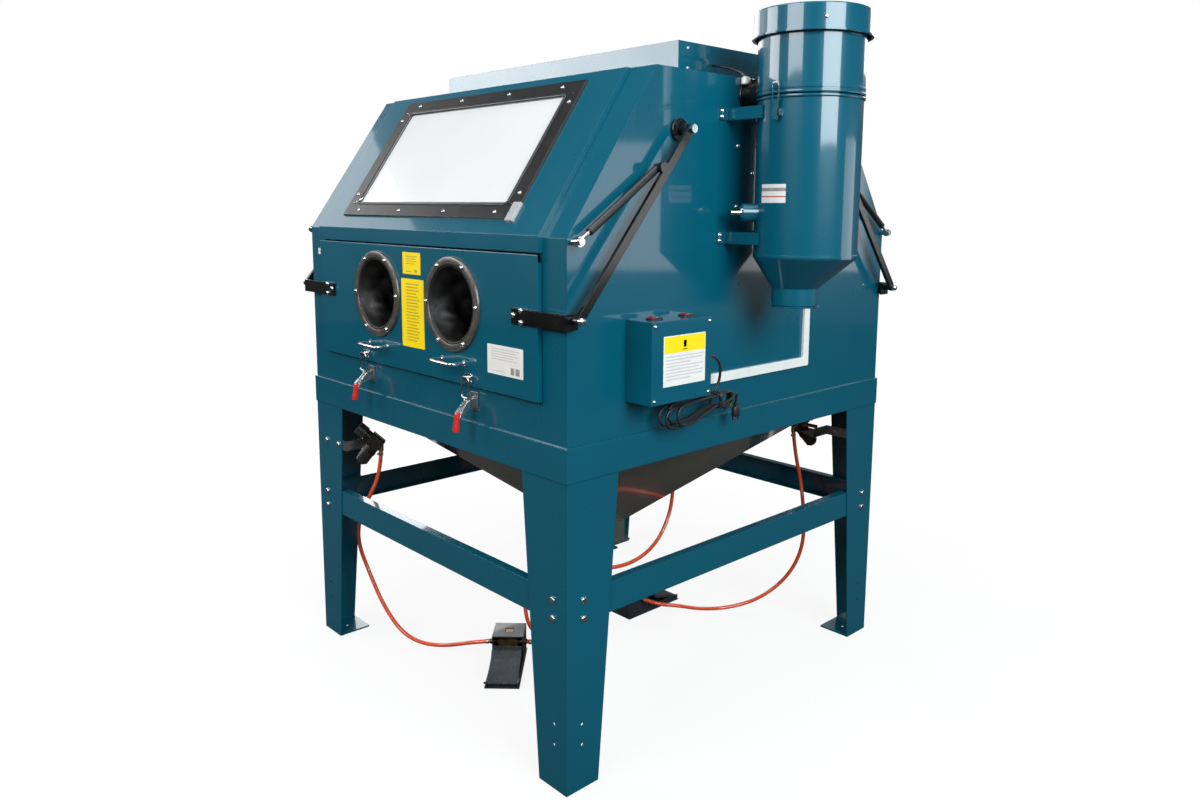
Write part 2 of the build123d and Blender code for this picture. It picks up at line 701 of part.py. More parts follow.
def drum_outside(grow):
    """Filled drum, slanted cone and collar, grown or shrunk by an offset."""
    shift_x, shift_y = DRUM_X + COLLAR_SHIFT[0], COLLAR_SHIFT[1]
    with BuildPart() as body:
        with BuildSketch(Plane.XY.offset(DRUM_BOTTOM)):
            with Locations((DRUM_X, 0)):
                Circle(DRUM_R + grow)
        extrude(amount=SEAM_Z - DRUM_BOTTOM - 1)
        with BuildSketch(Plane.XY.offset(DRUM_BOTTOM)):
            with Locations((DRUM_X, 0)):
                Circle(DRUM_R + grow)
        with BuildSketch(Plane.XY.offset(COLLAR_TOP)):
            with Locations((shift_x, shift_y)):
                Circle(COLLAR_R + grow)
        loft()
        with BuildSketch(Plane.XY.offset(COLLAR_BOTTOM)):
            with Locations((shift_x, shift_y)):
                Circle(COLLAR_R + grow)
        extrude(amount=COLLAR_TOP - COLLAR_BOTTOM)
    return body.part


def collector_drum():
    outside, inside = drum_outside(0), drum_outside(-SHEET)
    stub_angle = radians(-128)
    stub_origin = (DRUM_X + (DRUM_R - 2) * cos(stub_angle), (DRUM_R - 2) * sin(stub_angle), 1345)
    stub_plane = Plane(origin=stub_origin, z_dir=(cos(stub_angle), sin(stub_angle), 0))
    with BuildPart() as drum:
        add(outside)
        for z, height in ((DRUM_BOTTOM + 2, 7), (SEAM_Z - 9, 7)):
            with BuildSketch(Plane.XY.offset(z)):
                with Locations((DRUM_X, 0)):
                    Circle(DRUM_R + 1.2)
            extrude(amount=height)
        with BuildSketch(stub_plane):
            Circle(22)
        extrude(amount=38)
        for ear in (-10.5, 10.5):
            with BuildSketch(Plane.YZ.offset(DRUM_X + ear - 1.5)):
                with Locations((-DRUM_R - 4, DRUM_LATCH_Z)):
                    Rectangle(14, 16)
            extrude(amount=3)
        with BuildSketch(Plane.YZ.offset(DRUM_X - 12)):
            with Locations((-DRUM_R - 6, DRUM_LATCH_Z)):
                Circle(2.5)
        extrude(amount=24)
        add(inside, mode=Mode.SUBTRACT)
    return drum.part


def drum_latch():
    pivot = (-DRUM_R - 6, DRUM_LATCH_Z)
    with BuildPart() as latch:
        with BuildSketch(Plane.YZ.offset(DRUM_X - 7)):
            with Locations(pivot):
                Circle(4.5)
            with Locations((pivot[0] - 6, pivot[1] + 6)):
                Rectangle(4, 46)
            with Locations((pivot[0] - 4, pivot[1])):
                Rectangle(8, 5)
        extrude(amount=14)
        with BuildSketch(Plane.YZ.offset(DRUM_X - 8)):
            with Locations(pivot):
                Circle(2.5 + FIT)
        extrude(amount=16, mode=Mode.SUBTRACT)
        with BuildSketch(front_plane(-pivot[0] + 5)):
            with Locations((DRUM_X, DRUM_LATCH_Z + 46)):
                RectangleRounded(20, 46, 5)
                RectangleRounded(14, 40, 3, mode=Mode.SUBTRACT)
        extrude(amount=3)
    return latch.part


def collector_head():
    """Upper drum over the seam, with the inlet hole and the latch catch."""
    with BuildPart() as head:
        with BuildSketch(Plane.XY.offset(SEAM_Z + 1)):
            with Locations((DRUM_X, 0)):
                Circle(HEAD_R)
                Circle(HEAD_R - SHEET, mode=Mode.SUBTRACT)
        extrude(amount=HEAD_TOP - SEAM_Z - 1)
        with BuildSketch(Plane.XY.offset(SEAM_Z + 12)):
            with Locations((DRUM_X, 0)):
                Circle(HEAD_R + 1.2)
                Circle(HEAD_R - SHEET, mode=Mode.SUBTRACT)
        extrude(amount=7)
        with BuildSketch(Plane.YZ.offset(WALL_X)):
            with Locations((DUCT_Y, DUCT_Z)):
                Circle(DUCT_R - 5)
        extrude(amount=60, mode=Mode.SUBTRACT)
        with BuildSketch(front_plane(HEAD_R - 2)):
            with Locations((DRUM_X, SEAM_Z + 19)):
                Rectangle(9, 7)
        extrude(amount=15)
    return head.part


def collector_lid():
    with BuildPart() as lid:
        with BuildSketch(Plane.XY.offset(LID_BOTTOM)):
            with Locations((DRUM_X, 0)):
                Circle(LID_FLANGE_R)
        extrude(amount=4)
        with BuildSketch(Plane.XY.offset(LID_BOTTOM)):
            with Locations((DRUM_X, 0)):
                Circle(LID_R)
        extrude(amount=LID_TOP - LID_BOTTOM)
        fillet(lid.faces().sort_by(Axis.Z)[-1].edges(), 3)
        with BuildSketch(Plane.XY.offset(LID_BOTTOM)):
            with Locations((DRUM_X, 0)):
                Circle(LID_R - SHEET)
        extrude(amount=LID_TOP - SHEET - LID_BOTTOM, mode=Mode.SUBTRACT)
        with BuildSketch(Plane.XY.offset(HEAD_TOP + 0.3)):
            with Locations((DRUM_X, 0)):
                Circle(LID_R - 1)
                Circle(HEAD_R - 8, mode=Mode.SUBTRACT)
        extrude(amount=4)
    return lid.part


def collector_cap():
    """Hinged dust flap under the collar."""
    centre = (DRUM_X + COLLAR_SHIFT[0], COLLAR_SHIFT[1])
    with BuildPart() as cap:
        with BuildSketch(Plane.XY.offset(COLLAR_BOTTOM - 5)):
            with Locations(centre):
                Circle(COLLAR_R + 2)
            with Locations((centre[0] - COLLAR_R, centre[1])):
                Rectangle(20, 30)
            with Locations((centre[0] + COLLAR_R, centre[1])):
                Rectangle(22, 18)
        extrude(amount=4)
    return cap.part


def collector_brackets():
    reach = DRUM_X - 52
    with BuildPart() as brackets:
        for low in BRACKET_LEVELS:
            with BuildSketch(Plane.XY.offset(low)):
                for side in (-1, 1):
                    with Locations(((WALL_X + reach) / 2, side * BRACKET_Y)):
                        Rectangle(reach - WALL_X, 3)
                    with Locations((WALL_X + 1.5, side * (BRACKET_Y + 14))):
                        Rectangle(3, 30)
                with Locations((DRUM_X, 0)):
                    Circle(DRUM_R + 3.3)
                with Locations((DRUM_X, 0)):
                    Circle(DRUM_R + 0.3, mode=Mode.SUBTRACT)
                with Locations((reach + 200, 0)):
                    Rectangle(400, 400, mode=Mode.SUBTRACT)
            extrude(amount=BRACKET_HEIGHT)
    return brackets.part


def collector_duct():
    """Short ribbed sleeve from the side panel into the drum head."""
    with BuildPart() as duct:
        with BuildSketch(Plane.YZ.offset(WALL_X)):
            with Locations((DUCT_Y, DUCT_Z)):
                Circle(DUCT_R)
        extrude(amount=60)
        with BuildSketch(Plane.YZ.offset(WALL_X)):
            with Locations((DUCT_Y, DUCT_Z)):
                Circle(DUCT_R - 5)
        extrude(amount=60, mode=Mode.SUBTRACT)
        for rib in range(3):
            with BuildSketch(Plane.YZ.offset(WALL_X + 4 + 8 * rib)):
                with Locations((DUCT_Y, DUCT_Z)):
                    Circle(DUCT_R + 2.5)
                    Circle(DUCT_R - 1, mode=Mode.SUBTRACT)
            extrude(amount=4)
        with BuildSketch(Plane.XY.offset(DUCT_Z - 60)):
            with Locations((DRUM_X, 0)):
                Circle(HEAD_R + 1.3)
        extrude(amount=120, mode=Mode.SUBTRACT)
    return duct.part


def filter_cartridge():
    with BuildPart() as cartridge:
        with BuildSketch(Plane.XY.offset(1320)):
            with Locations((DRUM_X, 0)):
                Circle(85)
                Circle(55, mode=Mode.SUBTRACT)
        extrude(amount=290)
        for z in (1314, 1610):
            with BuildSketch(Plane.XY.offset(z)):
                with Locations((DRUM_X, 0)):
                    Circle(90)
            extrude(amount=6)
    return cartridge.part


def control_box():
    tall, deep = BOX_HIGH - BOX_LOW, BOX_REAR - BOX_FRONT
    middle = ((BOX_FRONT + BOX_REAR) / 2, (BOX_LOW + BOX_HIGH) / 2)
    with BuildPart() as box:
        with BuildSketch(Plane.YZ.offset(WALL_X)):
            with Locations(middle):
                Rectangle(deep, tall)
        extrude(amount=BOX_OUT - WALL_X)
        with BuildSketch(Plane.XY.offset(BOX_HIGH)):
            with Locations(*[(ROCKER_X, y) for y in ROCKER_YS]):
                Rectangle(22, 35)
        extrude(amount=3)
        with BuildSketch(Plane.YZ.offset(WALL_X + 2)):
            with Locations(middle):
                Rectangle(deep - 4, tall - 4)
        extrude(amount=BOX_OUT - WALL_X, mode=Mode.SUBTRACT)
        with BuildSketch(Plane.XY.offset(BOX_HIGH - 3)):
            with Locations(*[(ROCKER_X, y) for y in ROCKER_YS]):
                Rectangle(15, 29)
        extrude(amount=8, mode=Mode.SUBTRACT)
        with BuildSketch(Plane(origin=(GLAND_X, BOX_REAR, GLAND_Z), z_dir=(0, 1, 0))):
            Circle(9)
        extrude(amount=GLAND_LENGTH)
    return box.part


def control_box_cover():
    with BuildPart() as cover:
        with BuildSketch(Plane.YZ.offset(BOX_OUT)):
            with Locations(((BOX_FRONT + BOX_REAR) / 2, (BOX_LOW + BOX_HIGH) / 2)):
                Rectangle(BOX_REAR - BOX_FRONT, BOX_HIGH - BOX_LOW)
        extrude(amount=3)
        fillet(cover.faces().sort_by(Axis.X)[-1].edges(), 1.2)
    return cover.part


def rocker(y):
    """Two-way rocker, resting on its off side."""
    half, tilt = 13, radians(-ROCKER_TILT)
    outline = ((-half, 5), (0, 1.5), (half, 5), (half, -6), (-half, -6))
    turned = [
        (y + u * cos(tilt) - v * sin(tilt), BOX_HIGH + 1 + u * sin(tilt) + v * cos(tilt)) for u, v in outline
    ]
    with BuildPart() as button:
        with BuildSketch(Plane.YZ.offset(ROCKER_X - 7)):
            Polygon(*turned, align=None)
        extrude(amount=14)
    return button.part


def side_rail():
    """White U-shaped channel round the air inlet on the right side."""
    low, high, half, wide, deep = 915, 1100, 260, 25, 8
    with BuildPart() as rail:
        with BuildSketch(Plane.YZ.offset(WALL_X)):
            Polygon((-half, low), (half, low), (half, high), (-half, high), align=None)
            inner = half - wide
            Polygon((-inner, low + wide), (inner, low + wide), (inner, high + 1), (-inner, high + 1),
                    align=None, mode=Mode.SUBTRACT)
            Polygon((-half, low - 1), (-half, high + 1), (BOX_REAR + 1, high + 1), (BOX_REAR + 1, low - 1),
                    align=None, mode=Mode.SUBTRACT)
        extrude(amount=deep)
        fillet(rail.faces().sort_by(Axis.X)[-1].edges(), 1.5)
    return rail.part


def regulator_plane(direction, along):
    """Plane across a regulator axis, its origin a distance out from the body's centre."""
    origin = [start + along * step for start, step in zip((REG_X, REG_Y, REG_Z), direction)]
    return Plane(origin=tuple(origin), x_dir=(0.84, -0.543, 0), z_dir=direction)


def regulator_unit():
    """Body block, bonnet and bowl, leaning out between the leg's two flanges."""
    with BuildPart() as unit:
        with BuildSketch(regulator_plane(KNOB_DIR, -20)):
            RectangleRounded(40, 40, 8)
        extrude(amount=42)
        with BuildSketch(regulator_plane(KNOB_DIR, 20)):
            Circle(16)
        extrude(amount=KNOB_START - 21)
        with BuildSketch(regulator_plane(BOWL_DIR, 4)):
            Circle(20)
        extrude(amount=BOWL_LENGTH - 12)
        with BuildSketch(regulator_plane(BOWL_DIR, BOWL_LENGTH - 9)):
            Circle(20)
        extrude(amount=9, taper=40)
        with BuildSketch(regulator_plane(BOWL_DIR, 30)):
            Circle(21.5)
        extrude(amount=8)
    return unit.part


def regulator_bracket():
    """Bent strap from the leg's two bolts in behind the regulator body."""
    inner, arm_x, end_x, arm_y = LEG_OUT_Y - LEG_SHEET, -427, -372, 563
    with BuildPart() as strap:
        with BuildSketch(front_plane(inner - BRACKET_SHEET)):
            with Locations(((arm_x - 556) / 2, BRACKET_BOLT_Z)):
                Rectangle(arm_x + 556, 30)
            with Locations(*[(x, BRACKET_BOLT_Z) for x in BRACKET_BOLTS]):
                Circle(BOLT_R + 0.1, mode=Mode.SUBTRACT)
        extrude(amount=BRACKET_SHEET)
        with BuildSketch(front_plane(arm_y - BRACKET_SHEET)):
            with Locations((arm_x - BRACKET_SHEET / 2, BRACKET_BOLT_Z)):
                Rectangle(BRACKET_SHEET, 30)
        extrude(amount=inner - arm_y + BRACKET_SHEET)
        with BuildSketch(front_plane(arm_y - BRACKET_SHEET)):
            with Locations(((arm_x + end_x) / 2 - BRACKET_SHEET, BRACKET_BOLT_Z)):
                Rectangle(end_x - arm_x, 30)
        extrude(amount=BRACKET_SHEET)
    return strap.part


def regulator_bodies():
    unit, strap = regulator_unit(), regulator_bracket()
    with BuildPart() as regulator:
        add(unit)
        add(strap)
    return regulator.part


def regulator_knob():
    with BuildPart() as knob:
        with BuildSketch(regulator_plane(KNOB_DIR, KNOB_START)):
            Circle(18)
            with PolarLocations(18, 12):
                Circle(2)
        extrude(amount=KNOB_LENGTH)
        fillet(knob.faces().sort_by(Axis((0, 0, 0), KNOB_DIR))[-1].edges(), 1)
    return knob.part


def pedal_plane(heel, turn):
    """Pedal frame: origin under the middle of its front edge, local -y to the back."""
    return Plane(origin=(heel[0], heel[1], 0), x_dir=(cos(radians(turn)), sin(radians(turn)), 0), z_dir=(0, 0, 1))


FRONT_PEDAL = pedal_plane((107, -461), 46 + 180)
REAR_PEDAL = pedal_plane((-10, 356), 0)


def on_pedal(base, x_dir, z_dir, x, y, z):
    """Plane at a pedal-frame point with pedal-frame directions."""
    origin = base.from_local_coords(Vector(x, y, z))
    along = base.from_local_coords(Vector(*x_dir)) - base.origin
    normal = base.from_local_coords(Vector(*z_dir)) - base.origin
    return Plane(origin=tuple(origin), x_dir=tuple(along), z_dir=tuple(normal))


def pedal_base(base):
    wall_x, hood_back, hood_front, hood_top = PEDAL_WIDTH / 2 - 3, -PEDAL_LENGTH, -148, 84
    with BuildPart() as pedal:
        with BuildSketch(base):
            with Locations((0, -PEDAL_LENGTH / 2)):
                Rectangle(PEDAL_WIDTH, PEDAL_LENGTH)
        extrude(amount=4)
        for side in (-1, 1):
            with BuildSketch(base):
                with Locations((side * (wall_x - 1.5), (hood_back + hood_front) / 2)):
                    Rectangle(3, hood_front - hood_back)
            extrude(amount=hood_top)
            with BuildSketch(base):
                with Locations((side * (wall_x - 1.5), hood_front / 2)):
                    Rectangle(3, -hood_front)
            extrude(amount=18)
        with BuildSketch(base.offset(hood_top - 3)):
            with Locations((0, (hood_back + hood_front) / 2)):
                Rectangle(2 * wall_x, hood_front - hood_back)
                Rectangle(24, 24, mode=Mode.SUBTRACT)
        extrude(amount=3)
        with BuildSketch(base):
            with Locations((0, hood_back + 1.5)):
                Rectangle(2 * wall_x, 3)
        extrude(amount=hood_top)
        with BuildSketch(on_pedal(base, (0, 1, 0), (1, 0, 0), -wall_x - 1, -PORT_BACK, PORT_HEIGHT)):
            Circle(9)
        extrude(amount=PEDAL_WIDTH + 2, mode=Mode.SUBTRACT)
        with BuildSketch(on_pedal(base, (0, 1, 0), (1, 0, 0), -wall_x, -10, 12)):
            Circle(3)
        extrude(amount=PEDAL_WIDTH)
    return pedal.part


def pedal_bases():
    pieces = [pedal_base(FRONT_PEDAL), pedal_base(REAR_PEDAL)]
    with BuildPart() as pedals:
        add(pieces)
    return pedals.part


def treadle(base):
    half = PEDAL_WIDTH / 2 - 6
    side = on_pedal(base, (0, 1, 0), (1, 0, 0), -half, 0, 0)
    with BuildPart() as plate:
        with BuildSketch(side):
            with Locations((-10, 12)):
                Circle(6)
            Polygon((-10, 18), (-8, 10), (-104, 34), (-118, 48), (-143, 52), (-143, 58), (-116, 55), (-102, 41), align=None)
            with Locations((-10, 12)):
                Circle(3 + FIT, mode=Mode.SUBTRACT)
        extrude(amount=2 * half)
    return plate.part


def pedal_valve(base, outlet):
    """Valve block in the hood with a barb through each wall that carries a hose."""
    with BuildPart() as valve:
        with BuildSketch(base.offset(4)):
            with Locations((0, -PORT_BACK)):
                Rectangle(56, 40)
        extrude(amount=66)
        for side in outlet:
            with BuildSketch(on_pedal(base, (0, 1, 0), (side, 0, 0), side * 28, -PORT_BACK, PORT_HEIGHT)):
                Circle(8)
            extrude(amount=PORT_SIDE - 28)
    return valve.part


def regulator_outlet():
    """Downward barb under the regulator body."""
    with BuildPart() as barb:
        with BuildSketch(Plane.XY.offset(OUTLET_Z)):
            with Locations((OUTLET_X, OUTLET_Y)):
                Circle(8)
        extrude(amount=REG_Z - OUTLET_Z)
    return barb.part


def regulator_inlet():
    """Hexagon and nipple on the leg side of the regulator body."""
    with BuildPart() as nipple:
        with BuildSketch(Plane.YZ.offset(REG_X - 18)):
            with Locations((INLET_Y, INLET_Z)):
                RegularPolygon(8, 6)
        extrude(amount=-16)
        with BuildSketch(Plane.YZ.offset(REG_X - 34)):
            with Locations((INLET_Y, INLET_Z)):
                Circle(6)
        extrude(amount=INLET_END - REG_X + 34)
    return nipple.part


def largest_left(piece, cutter):
    """The biggest solid left of a piece once another piece's space is cut away."""
    with BuildPart() as trimmed:
        add(piece)
        add(cutter, mode=Mode.SUBTRACT)
    return trimmed.part.solids().sort_by(SortBy.VOLUME)[-1]


def regulator_fittings(regulator):
    ends = [largest_left(regulator_outlet(), regulator), largest_left(regulator_inlet(), regulator)]
    with BuildPart() as fittings:
        add(ends)
    return both_ends(fittings.part)


GUN_PORT = (100, 255)


def gun_fitting():
    """Barb where the blast hose enters the hopper's rear wall."""
    wall_z = HOPPER_APEX + GUN_PORT[1] * (HOPPER_TOP - HOPPER_APEX) / (WALL_Y - SHEET)
    with BuildPart() as barb:
        with BuildSketch(Plane.XY.offset(HOPPER_PORT_Z)):
            with Locations(GUN_PORT):
                Circle(8)
        extrude(amount=wall_z - HOPPER_PORT_Z + 20)
    return barb.part


HOPPER_PORT_Z = 492


def air_fittings(hopper_solid, regulator, hoses):
    elbows = regulator_fittings(regulator)
    valves = [pedal_valve(FRONT_PEDAL, (-1, 1)), pedal_valve(REAR_PEDAL, (1,))]
    barb = gun_fitting()
    with BuildPart() as trimmed:
        add(barb)
        add(hopper_solid, mode=Mode.SUBTRACT)
    lower = trimmed.part.solids().sort_by(Axis.Z)[0]
    with BuildPart() as fittings:
        add(elbows)
        add(valves)
        add(lower)
        for hose in hoses:
            add(hose, mode=Mode.SUBTRACT)
    return fittings.part


def tube(points, radius, name):
    """Round tube along straight runs joined by the largest tangent arcs that the runs allow."""
    corners = [Vector(*point) for point in points]
    radii = []
    for before, here, after in zip(corners, corners[1:], corners[2:]):
        first, second = here - before, after - here
        turn = radians(first.get_angle(second))
        radii.append(0.45 * min(first.length, second.length) / tan(turn / 2))
    print(name, "radii", [round(r) for r in radii])
    with BuildPart() as hose:
        with BuildLine() as path:
            FilletPolyline(*points, radius=radii)
        with BuildSketch(Plane(origin=points[0], z_dir=tuple(corners[1] - corners[0]))):
            Circle(radius)
        sweep()
    length = sum(edge.length for edge in path.edges())
    print(name, "length", round(length), "volume ratio", round(hose.part.volume / (3.14159265 * radius**2 * length), 4))
    return hose.part


def pedal_port(base, side):
    return tuple(base.from_local_coords(Vector(side * PORT_SIDE, -PORT_BACK, PORT_HEIGHT)))


def pedal_lead(base, side, reach, rise):
    return tuple(base.from_local_coords(Vector(side * (PORT_SIDE + reach), -PORT_BACK, PORT_HEIGHT + rise)))


HOSE_FRONT_SUPPLY = (
    (OUTLET_X, OUTLET_Y, OUTLET_Z),
    (-352, -568, 550),
    (-400, -585, 462),
    (-470, -578, 385),
    (-510, -567, 290),
    (-478, -546, 190),
    (-415, -535, 98),
    (-345, -515, 28),
    (-270, -490, 8),
    (-195, -450, 14),
    pedal_lead(FRONT_PEDAL, 1, 60, -5),
    pedal_port(FRONT_PEDAL, 1),
)

HOSE_FRONT_GUN = (
    pedal_port(FRONT_PEDAL, -1),
    (44, -270, 52),
    (59, -232, 38),
    (52, -196, 22),
    (22, -172, 12),
    (-16, -180, 12),
    (-40, -212, 30),
    (-46, -238, 62),
    (-48, -250, 104),
    (-50, -254, 160),
    (-44, -238, 212),
    (-10, -190, 246),
    (42, -125, 253),
    (100, -50, 240),
    (122, 50, 241),
    (112, 155, 266),
    (102, 226, 328),
    (100, GUN_PORT[1], 410),
    (*GUN_PORT, HOPPER_PORT_Z),
)

HOSE_REAR_SUPPLY = (
    (-OUTLET_X, -OUTLET_Y, OUTLET_Z),
    (356, 570, 550),
    (375, 580, 460),
    (402, 563, 370),
    (410, 560, 270),
    (386, 556, 180),
    (333, 545, 95),
    (275, 490, 34),
    (220, 405, 13),
    (178, 312, 24),
    (150, 236, 50),
    pedal_lead(REAR_PEDAL, 1, 58, 2),
    pedal_port(REAR_PEDAL, 1),
)

HANK_X, HANK_REAR, HANK_HIGH, HANK_THICK = 645, -150, 908, 32
HANK_OUTLINE = ((HANK_REAR, HANK_HIGH), (-200, HANK_HIGH), (-385, 888), (-385, 850), (-330, 840), (HANK_REAR, 874))

CORD_LEAD = (
    (GLAND_X, BOX_REAR + GLAND_LENGTH, GLAND_Z),
    (GLAND_X, -205, GLAND_Z),
    (HANK_X, -174, 965),
    (HANK_X, -174, HANK_HIGH),
)

PLUG_Y, PLUG_TOP = -116, 870

CORD_TAIL = (
    (HANK_X, HANK_REAR, 904),
    (HANK_X, -130, 904),
    (HANK_X, PLUG_Y, 890),
    (HANK_X, PLUG_Y, PLUG_TOP),
)


def power_cord():
    pieces = [tube(CORD_LEAD, CORD_R, "cord lead"), tube(CORD_TAIL, CORD_R, "cord tail")]
    with BuildPart() as cord:
        add(pieces)
    return cord.part


def power_cord_hank():
    """Space of the tied loops, which droop away from the tie at the rear."""
    with BuildPart() as hank:
        with BuildSketch(Plane.YZ.offset(HANK_X - HANK_THICK / 2)) as outline:
            Polygon(*HANK_OUTLINE, align=None)
            fillet(outline.vertices(), 5)
        extrude(amount=HANK_THICK)
    return hank.part


def power_plug():
    """Flat two-pin plug hanging under the hank, pins down."""
    with BuildPart() as plug:
        with BuildSketch(Plane.XY.offset(PLUG_TOP)):
            with Locations((HANK_X, PLUG_Y)):
                Circle(6)
        extrude(amount=-12)
        with BuildSketch(Plane.XY.offset(PLUG_TOP - 12)):
            with Locations((HANK_X, PLUG_Y)):
                RectangleRounded(14, 26, 5)
        extrude(amount=-26)
        with BuildSketch(Plane.XY.offset(PLUG_TOP - 38)):
            with Locations((HANK_X, PLUG_Y - 9.5), (HANK_X, PLUG_Y + 9.5)):
                Circle(2)
        extrude(amount=-19)
    return plug.part


hopper_part = hopper()
save(side_panel(1), "side_panel_right")
save(side_panel(-1), "side_panel_left")
save(end_panels(), "end_panels")
save(window_frames(), "window_frames")
save(window_panes(), "window_panes")
save(roof_panel(), "roof_panel")
save(light_housing(), "light_housing")
save(light_lens(), "light_lens")
save(lamp_tubes(), "lamp_tubes")
save(skirt_frame(), "skirt_frame")
save(hopper_part, "hopper")
save(drain_door(), "drain_door")
save(work_grate(), "work_grate")
save(legs(), "legs")
save(stretchers(), "stretchers")
save(frame_bolts(), "frame_bolts")
save(lift_pivots(), "lift_pivots")
save(latch_bases(), "latch_bases")
save(collector_drum(), "collector_drum")
save(drum_latch(), "drum_latch")
save(collector_head(), "collector_head")
save(collector_lid(), "collector_lid")
save(collector_cap(), "collector_cap")
save(collector_brackets(), "collector_brackets")
save(collector_duct(), "collector_duct")
save(filter_cartridge(), "filter_cartridge")
save(control_box(), "control_box")
save(control_box_cover(), "control_box_cover")
for number, rocker_y in enumerate(ROCKER_YS, start=1):
    save(rocker(rocker_y), f"rocker_{number}")
save(side_rail(), "side_rail")
regulator_part = regulator_bodies()
save(both_ends(regulator_part), "regulators")
save(pedal_bases(), "pedal_bases")
hose_parts = {
    "hose_front_supply": tube(HOSE_FRONT_SUPPLY, HOSE_R, "front supply hose"),
    "hose_front_gun": tube(HOSE_FRONT_GUN, HOSE_R, "front gun hose"),
    "hose_rear_supply": tube(HOSE_REAR_SUPPLY, HOSE_R, "rear supply hose"),
}
save(air_fittings(hopper_part, regulator_part, hose_parts.values()), "air_fittings")
for piece_name, piece in hose_parts.items():
    save(piece, piece_name)
save(power_cord(), "power_cord")
save(power_cord_hank(), "power_cord_hank")
save(power_plug(), "power_plug")

# Pieces of the front station and the same pieces turned half round for the rear one
STATION = {
    "door": door(),
    "lift_arms": lift_arms(),
    "door_fittings": door_fittings(),
    "gloves": gloves(),
    "strut_rods": strut_rods(),
    "strut_tubes": strut_tubes(),
    "latch_left": latch_lever(-LATCH_X),
    "latch_right": latch_lever(LATCH_X),
    "regulator_knob": regulator_knob(),
}
for piece_name, piece in STATION.items():
    save(piece, f"{piece_name}_front")
    save(rear_end(piece), f"{piece_name}_rear")
save(treadle(FRONT_PEDAL), "treadle_front")
save(treadle(REAR_PEDAL), "treadle_rear")
print("cabinet centre line at x =", CABINET_X)
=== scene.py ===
"""Looks of the double-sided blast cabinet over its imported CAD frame, in metres."""

import math

import bmesh
import bpy
from mathutils import Matrix, Vector


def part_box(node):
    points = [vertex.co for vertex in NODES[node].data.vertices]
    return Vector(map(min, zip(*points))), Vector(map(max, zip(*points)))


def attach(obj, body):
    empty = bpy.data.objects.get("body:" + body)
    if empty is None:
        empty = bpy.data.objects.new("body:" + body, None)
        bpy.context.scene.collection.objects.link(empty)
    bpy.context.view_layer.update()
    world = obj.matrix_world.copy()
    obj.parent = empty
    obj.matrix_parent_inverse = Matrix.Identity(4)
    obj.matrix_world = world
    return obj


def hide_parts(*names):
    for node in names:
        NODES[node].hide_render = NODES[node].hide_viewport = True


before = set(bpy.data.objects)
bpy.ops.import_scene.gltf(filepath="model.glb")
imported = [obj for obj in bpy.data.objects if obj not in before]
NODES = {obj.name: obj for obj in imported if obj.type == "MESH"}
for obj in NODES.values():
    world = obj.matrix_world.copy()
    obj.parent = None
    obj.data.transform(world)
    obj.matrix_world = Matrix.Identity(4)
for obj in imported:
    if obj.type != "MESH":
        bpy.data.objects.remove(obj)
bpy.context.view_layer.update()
SKIRT_LOW, SKIRT_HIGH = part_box("skirt_frame")
CENTRE_X = (SKIRT_LOW.x + SKIRT_HIGH.x) / 2
MM = 0.001
ENDS = ("front", "rear")
RIGHTWARD, INWARD, OUTWARD, UPWARD = (1, 0, 0), (0, 1, 0), (0, -1, 0), (0, 0, 1)

# Sizes in millimetres about the cabinet's centre line, as in the CAD
EYE = (2078, -1926, 1361)
FOLD_Y, FOLD_Z = -640, 1290
SLOPE = math.atan2(270, 388)
PORT_X, PORT_Z, DOOR_FACE, HANDLE_Z = 181, 1117, -655, 976
DRUM_X, DRUM_R, SEAM_Z = 755, 126, 1620
HOSE_R, CORD_R = 6, 3.5
GLAND = (640, -244, 1000)
HANK_X, TIE_Y = 645, -197
PLUG_X, PLUG_Y = 645, -116
PORT_BACK, PORT_SIDE, PORT_HEIGHT = -178, 56, 55
HEEL_FRONT, HEEL_REAR = ((107, -461), 226), ((-10, 356), 0)


def spot(x, y, z, end="front"):
    """Point in the row frame from millimetres about the cabinet's centre line."""
    turn = 1 if end == "front" else -1
    return Vector((CENTRE_X + turn * x * MM, turn * y * MM, z * MM))


# Camera


def make_camera():
    """Camera of the photograph, from its fitted place and angles."""
    azimuth, pitch, roll = math.radians(46.79), math.radians(8.22), math.radians(0.34)
    flat = math.cos(pitch)
    ahead = Vector((-math.sin(azimuth) * flat, math.cos(azimuth) * flat, -math.sin(pitch)))
    level = ahead.cross(Vector(UPWARD)).normalized()
    upright = level.cross(ahead)
    right = level * math.cos(roll) + upright * math.sin(roll)
    up = upright * math.cos(roll) - level * math.sin(roll)
    camera = bpy.data.objects.new("camera", bpy.data.cameras.new("camera"))
    bpy.context.scene.collection.objects.link(camera)
    turned = Matrix((right, up, -ahead)).transposed().to_4x4()
    camera.matrix_world = Matrix.Translation(spot(*EYE)) @ turned
    camera.data.sensor_width = 36
    camera.data.lens = 27.56
    camera.data.shift_x, camera.data.shift_y = -0.0025, -0.0517
    camera.data.clip_start, camera.data.clip_end = 0.05, 60
    bpy.context.scene.camera = camera


# Materials


def noise(tree, scale, detail=3.0, stretch=None):
    """Noise factor over the object's own coordinates."""
    texture = tree.nodes.new("ShaderNodeTexNoise")
    texture.inputs["Scale"].default_value = scale
    texture.inputs["Detail"].default_value = detail
    where = tree.nodes.new("ShaderNodeTexCoord")
    if stretch:
        mapping = tree.nodes.new("ShaderNodeMapping")
        mapping.inputs["Scale"].default_value = stretch
        tree.links.new(where.outputs["Object"], mapping.inputs["Vector"])
        tree.links.new(mapping.outputs["Vector"], texture.inputs["Vector"])
    else:
        tree.links.new(where.outputs["Object"], texture.inputs["Vector"])
    return texture.outputs["Fac"]


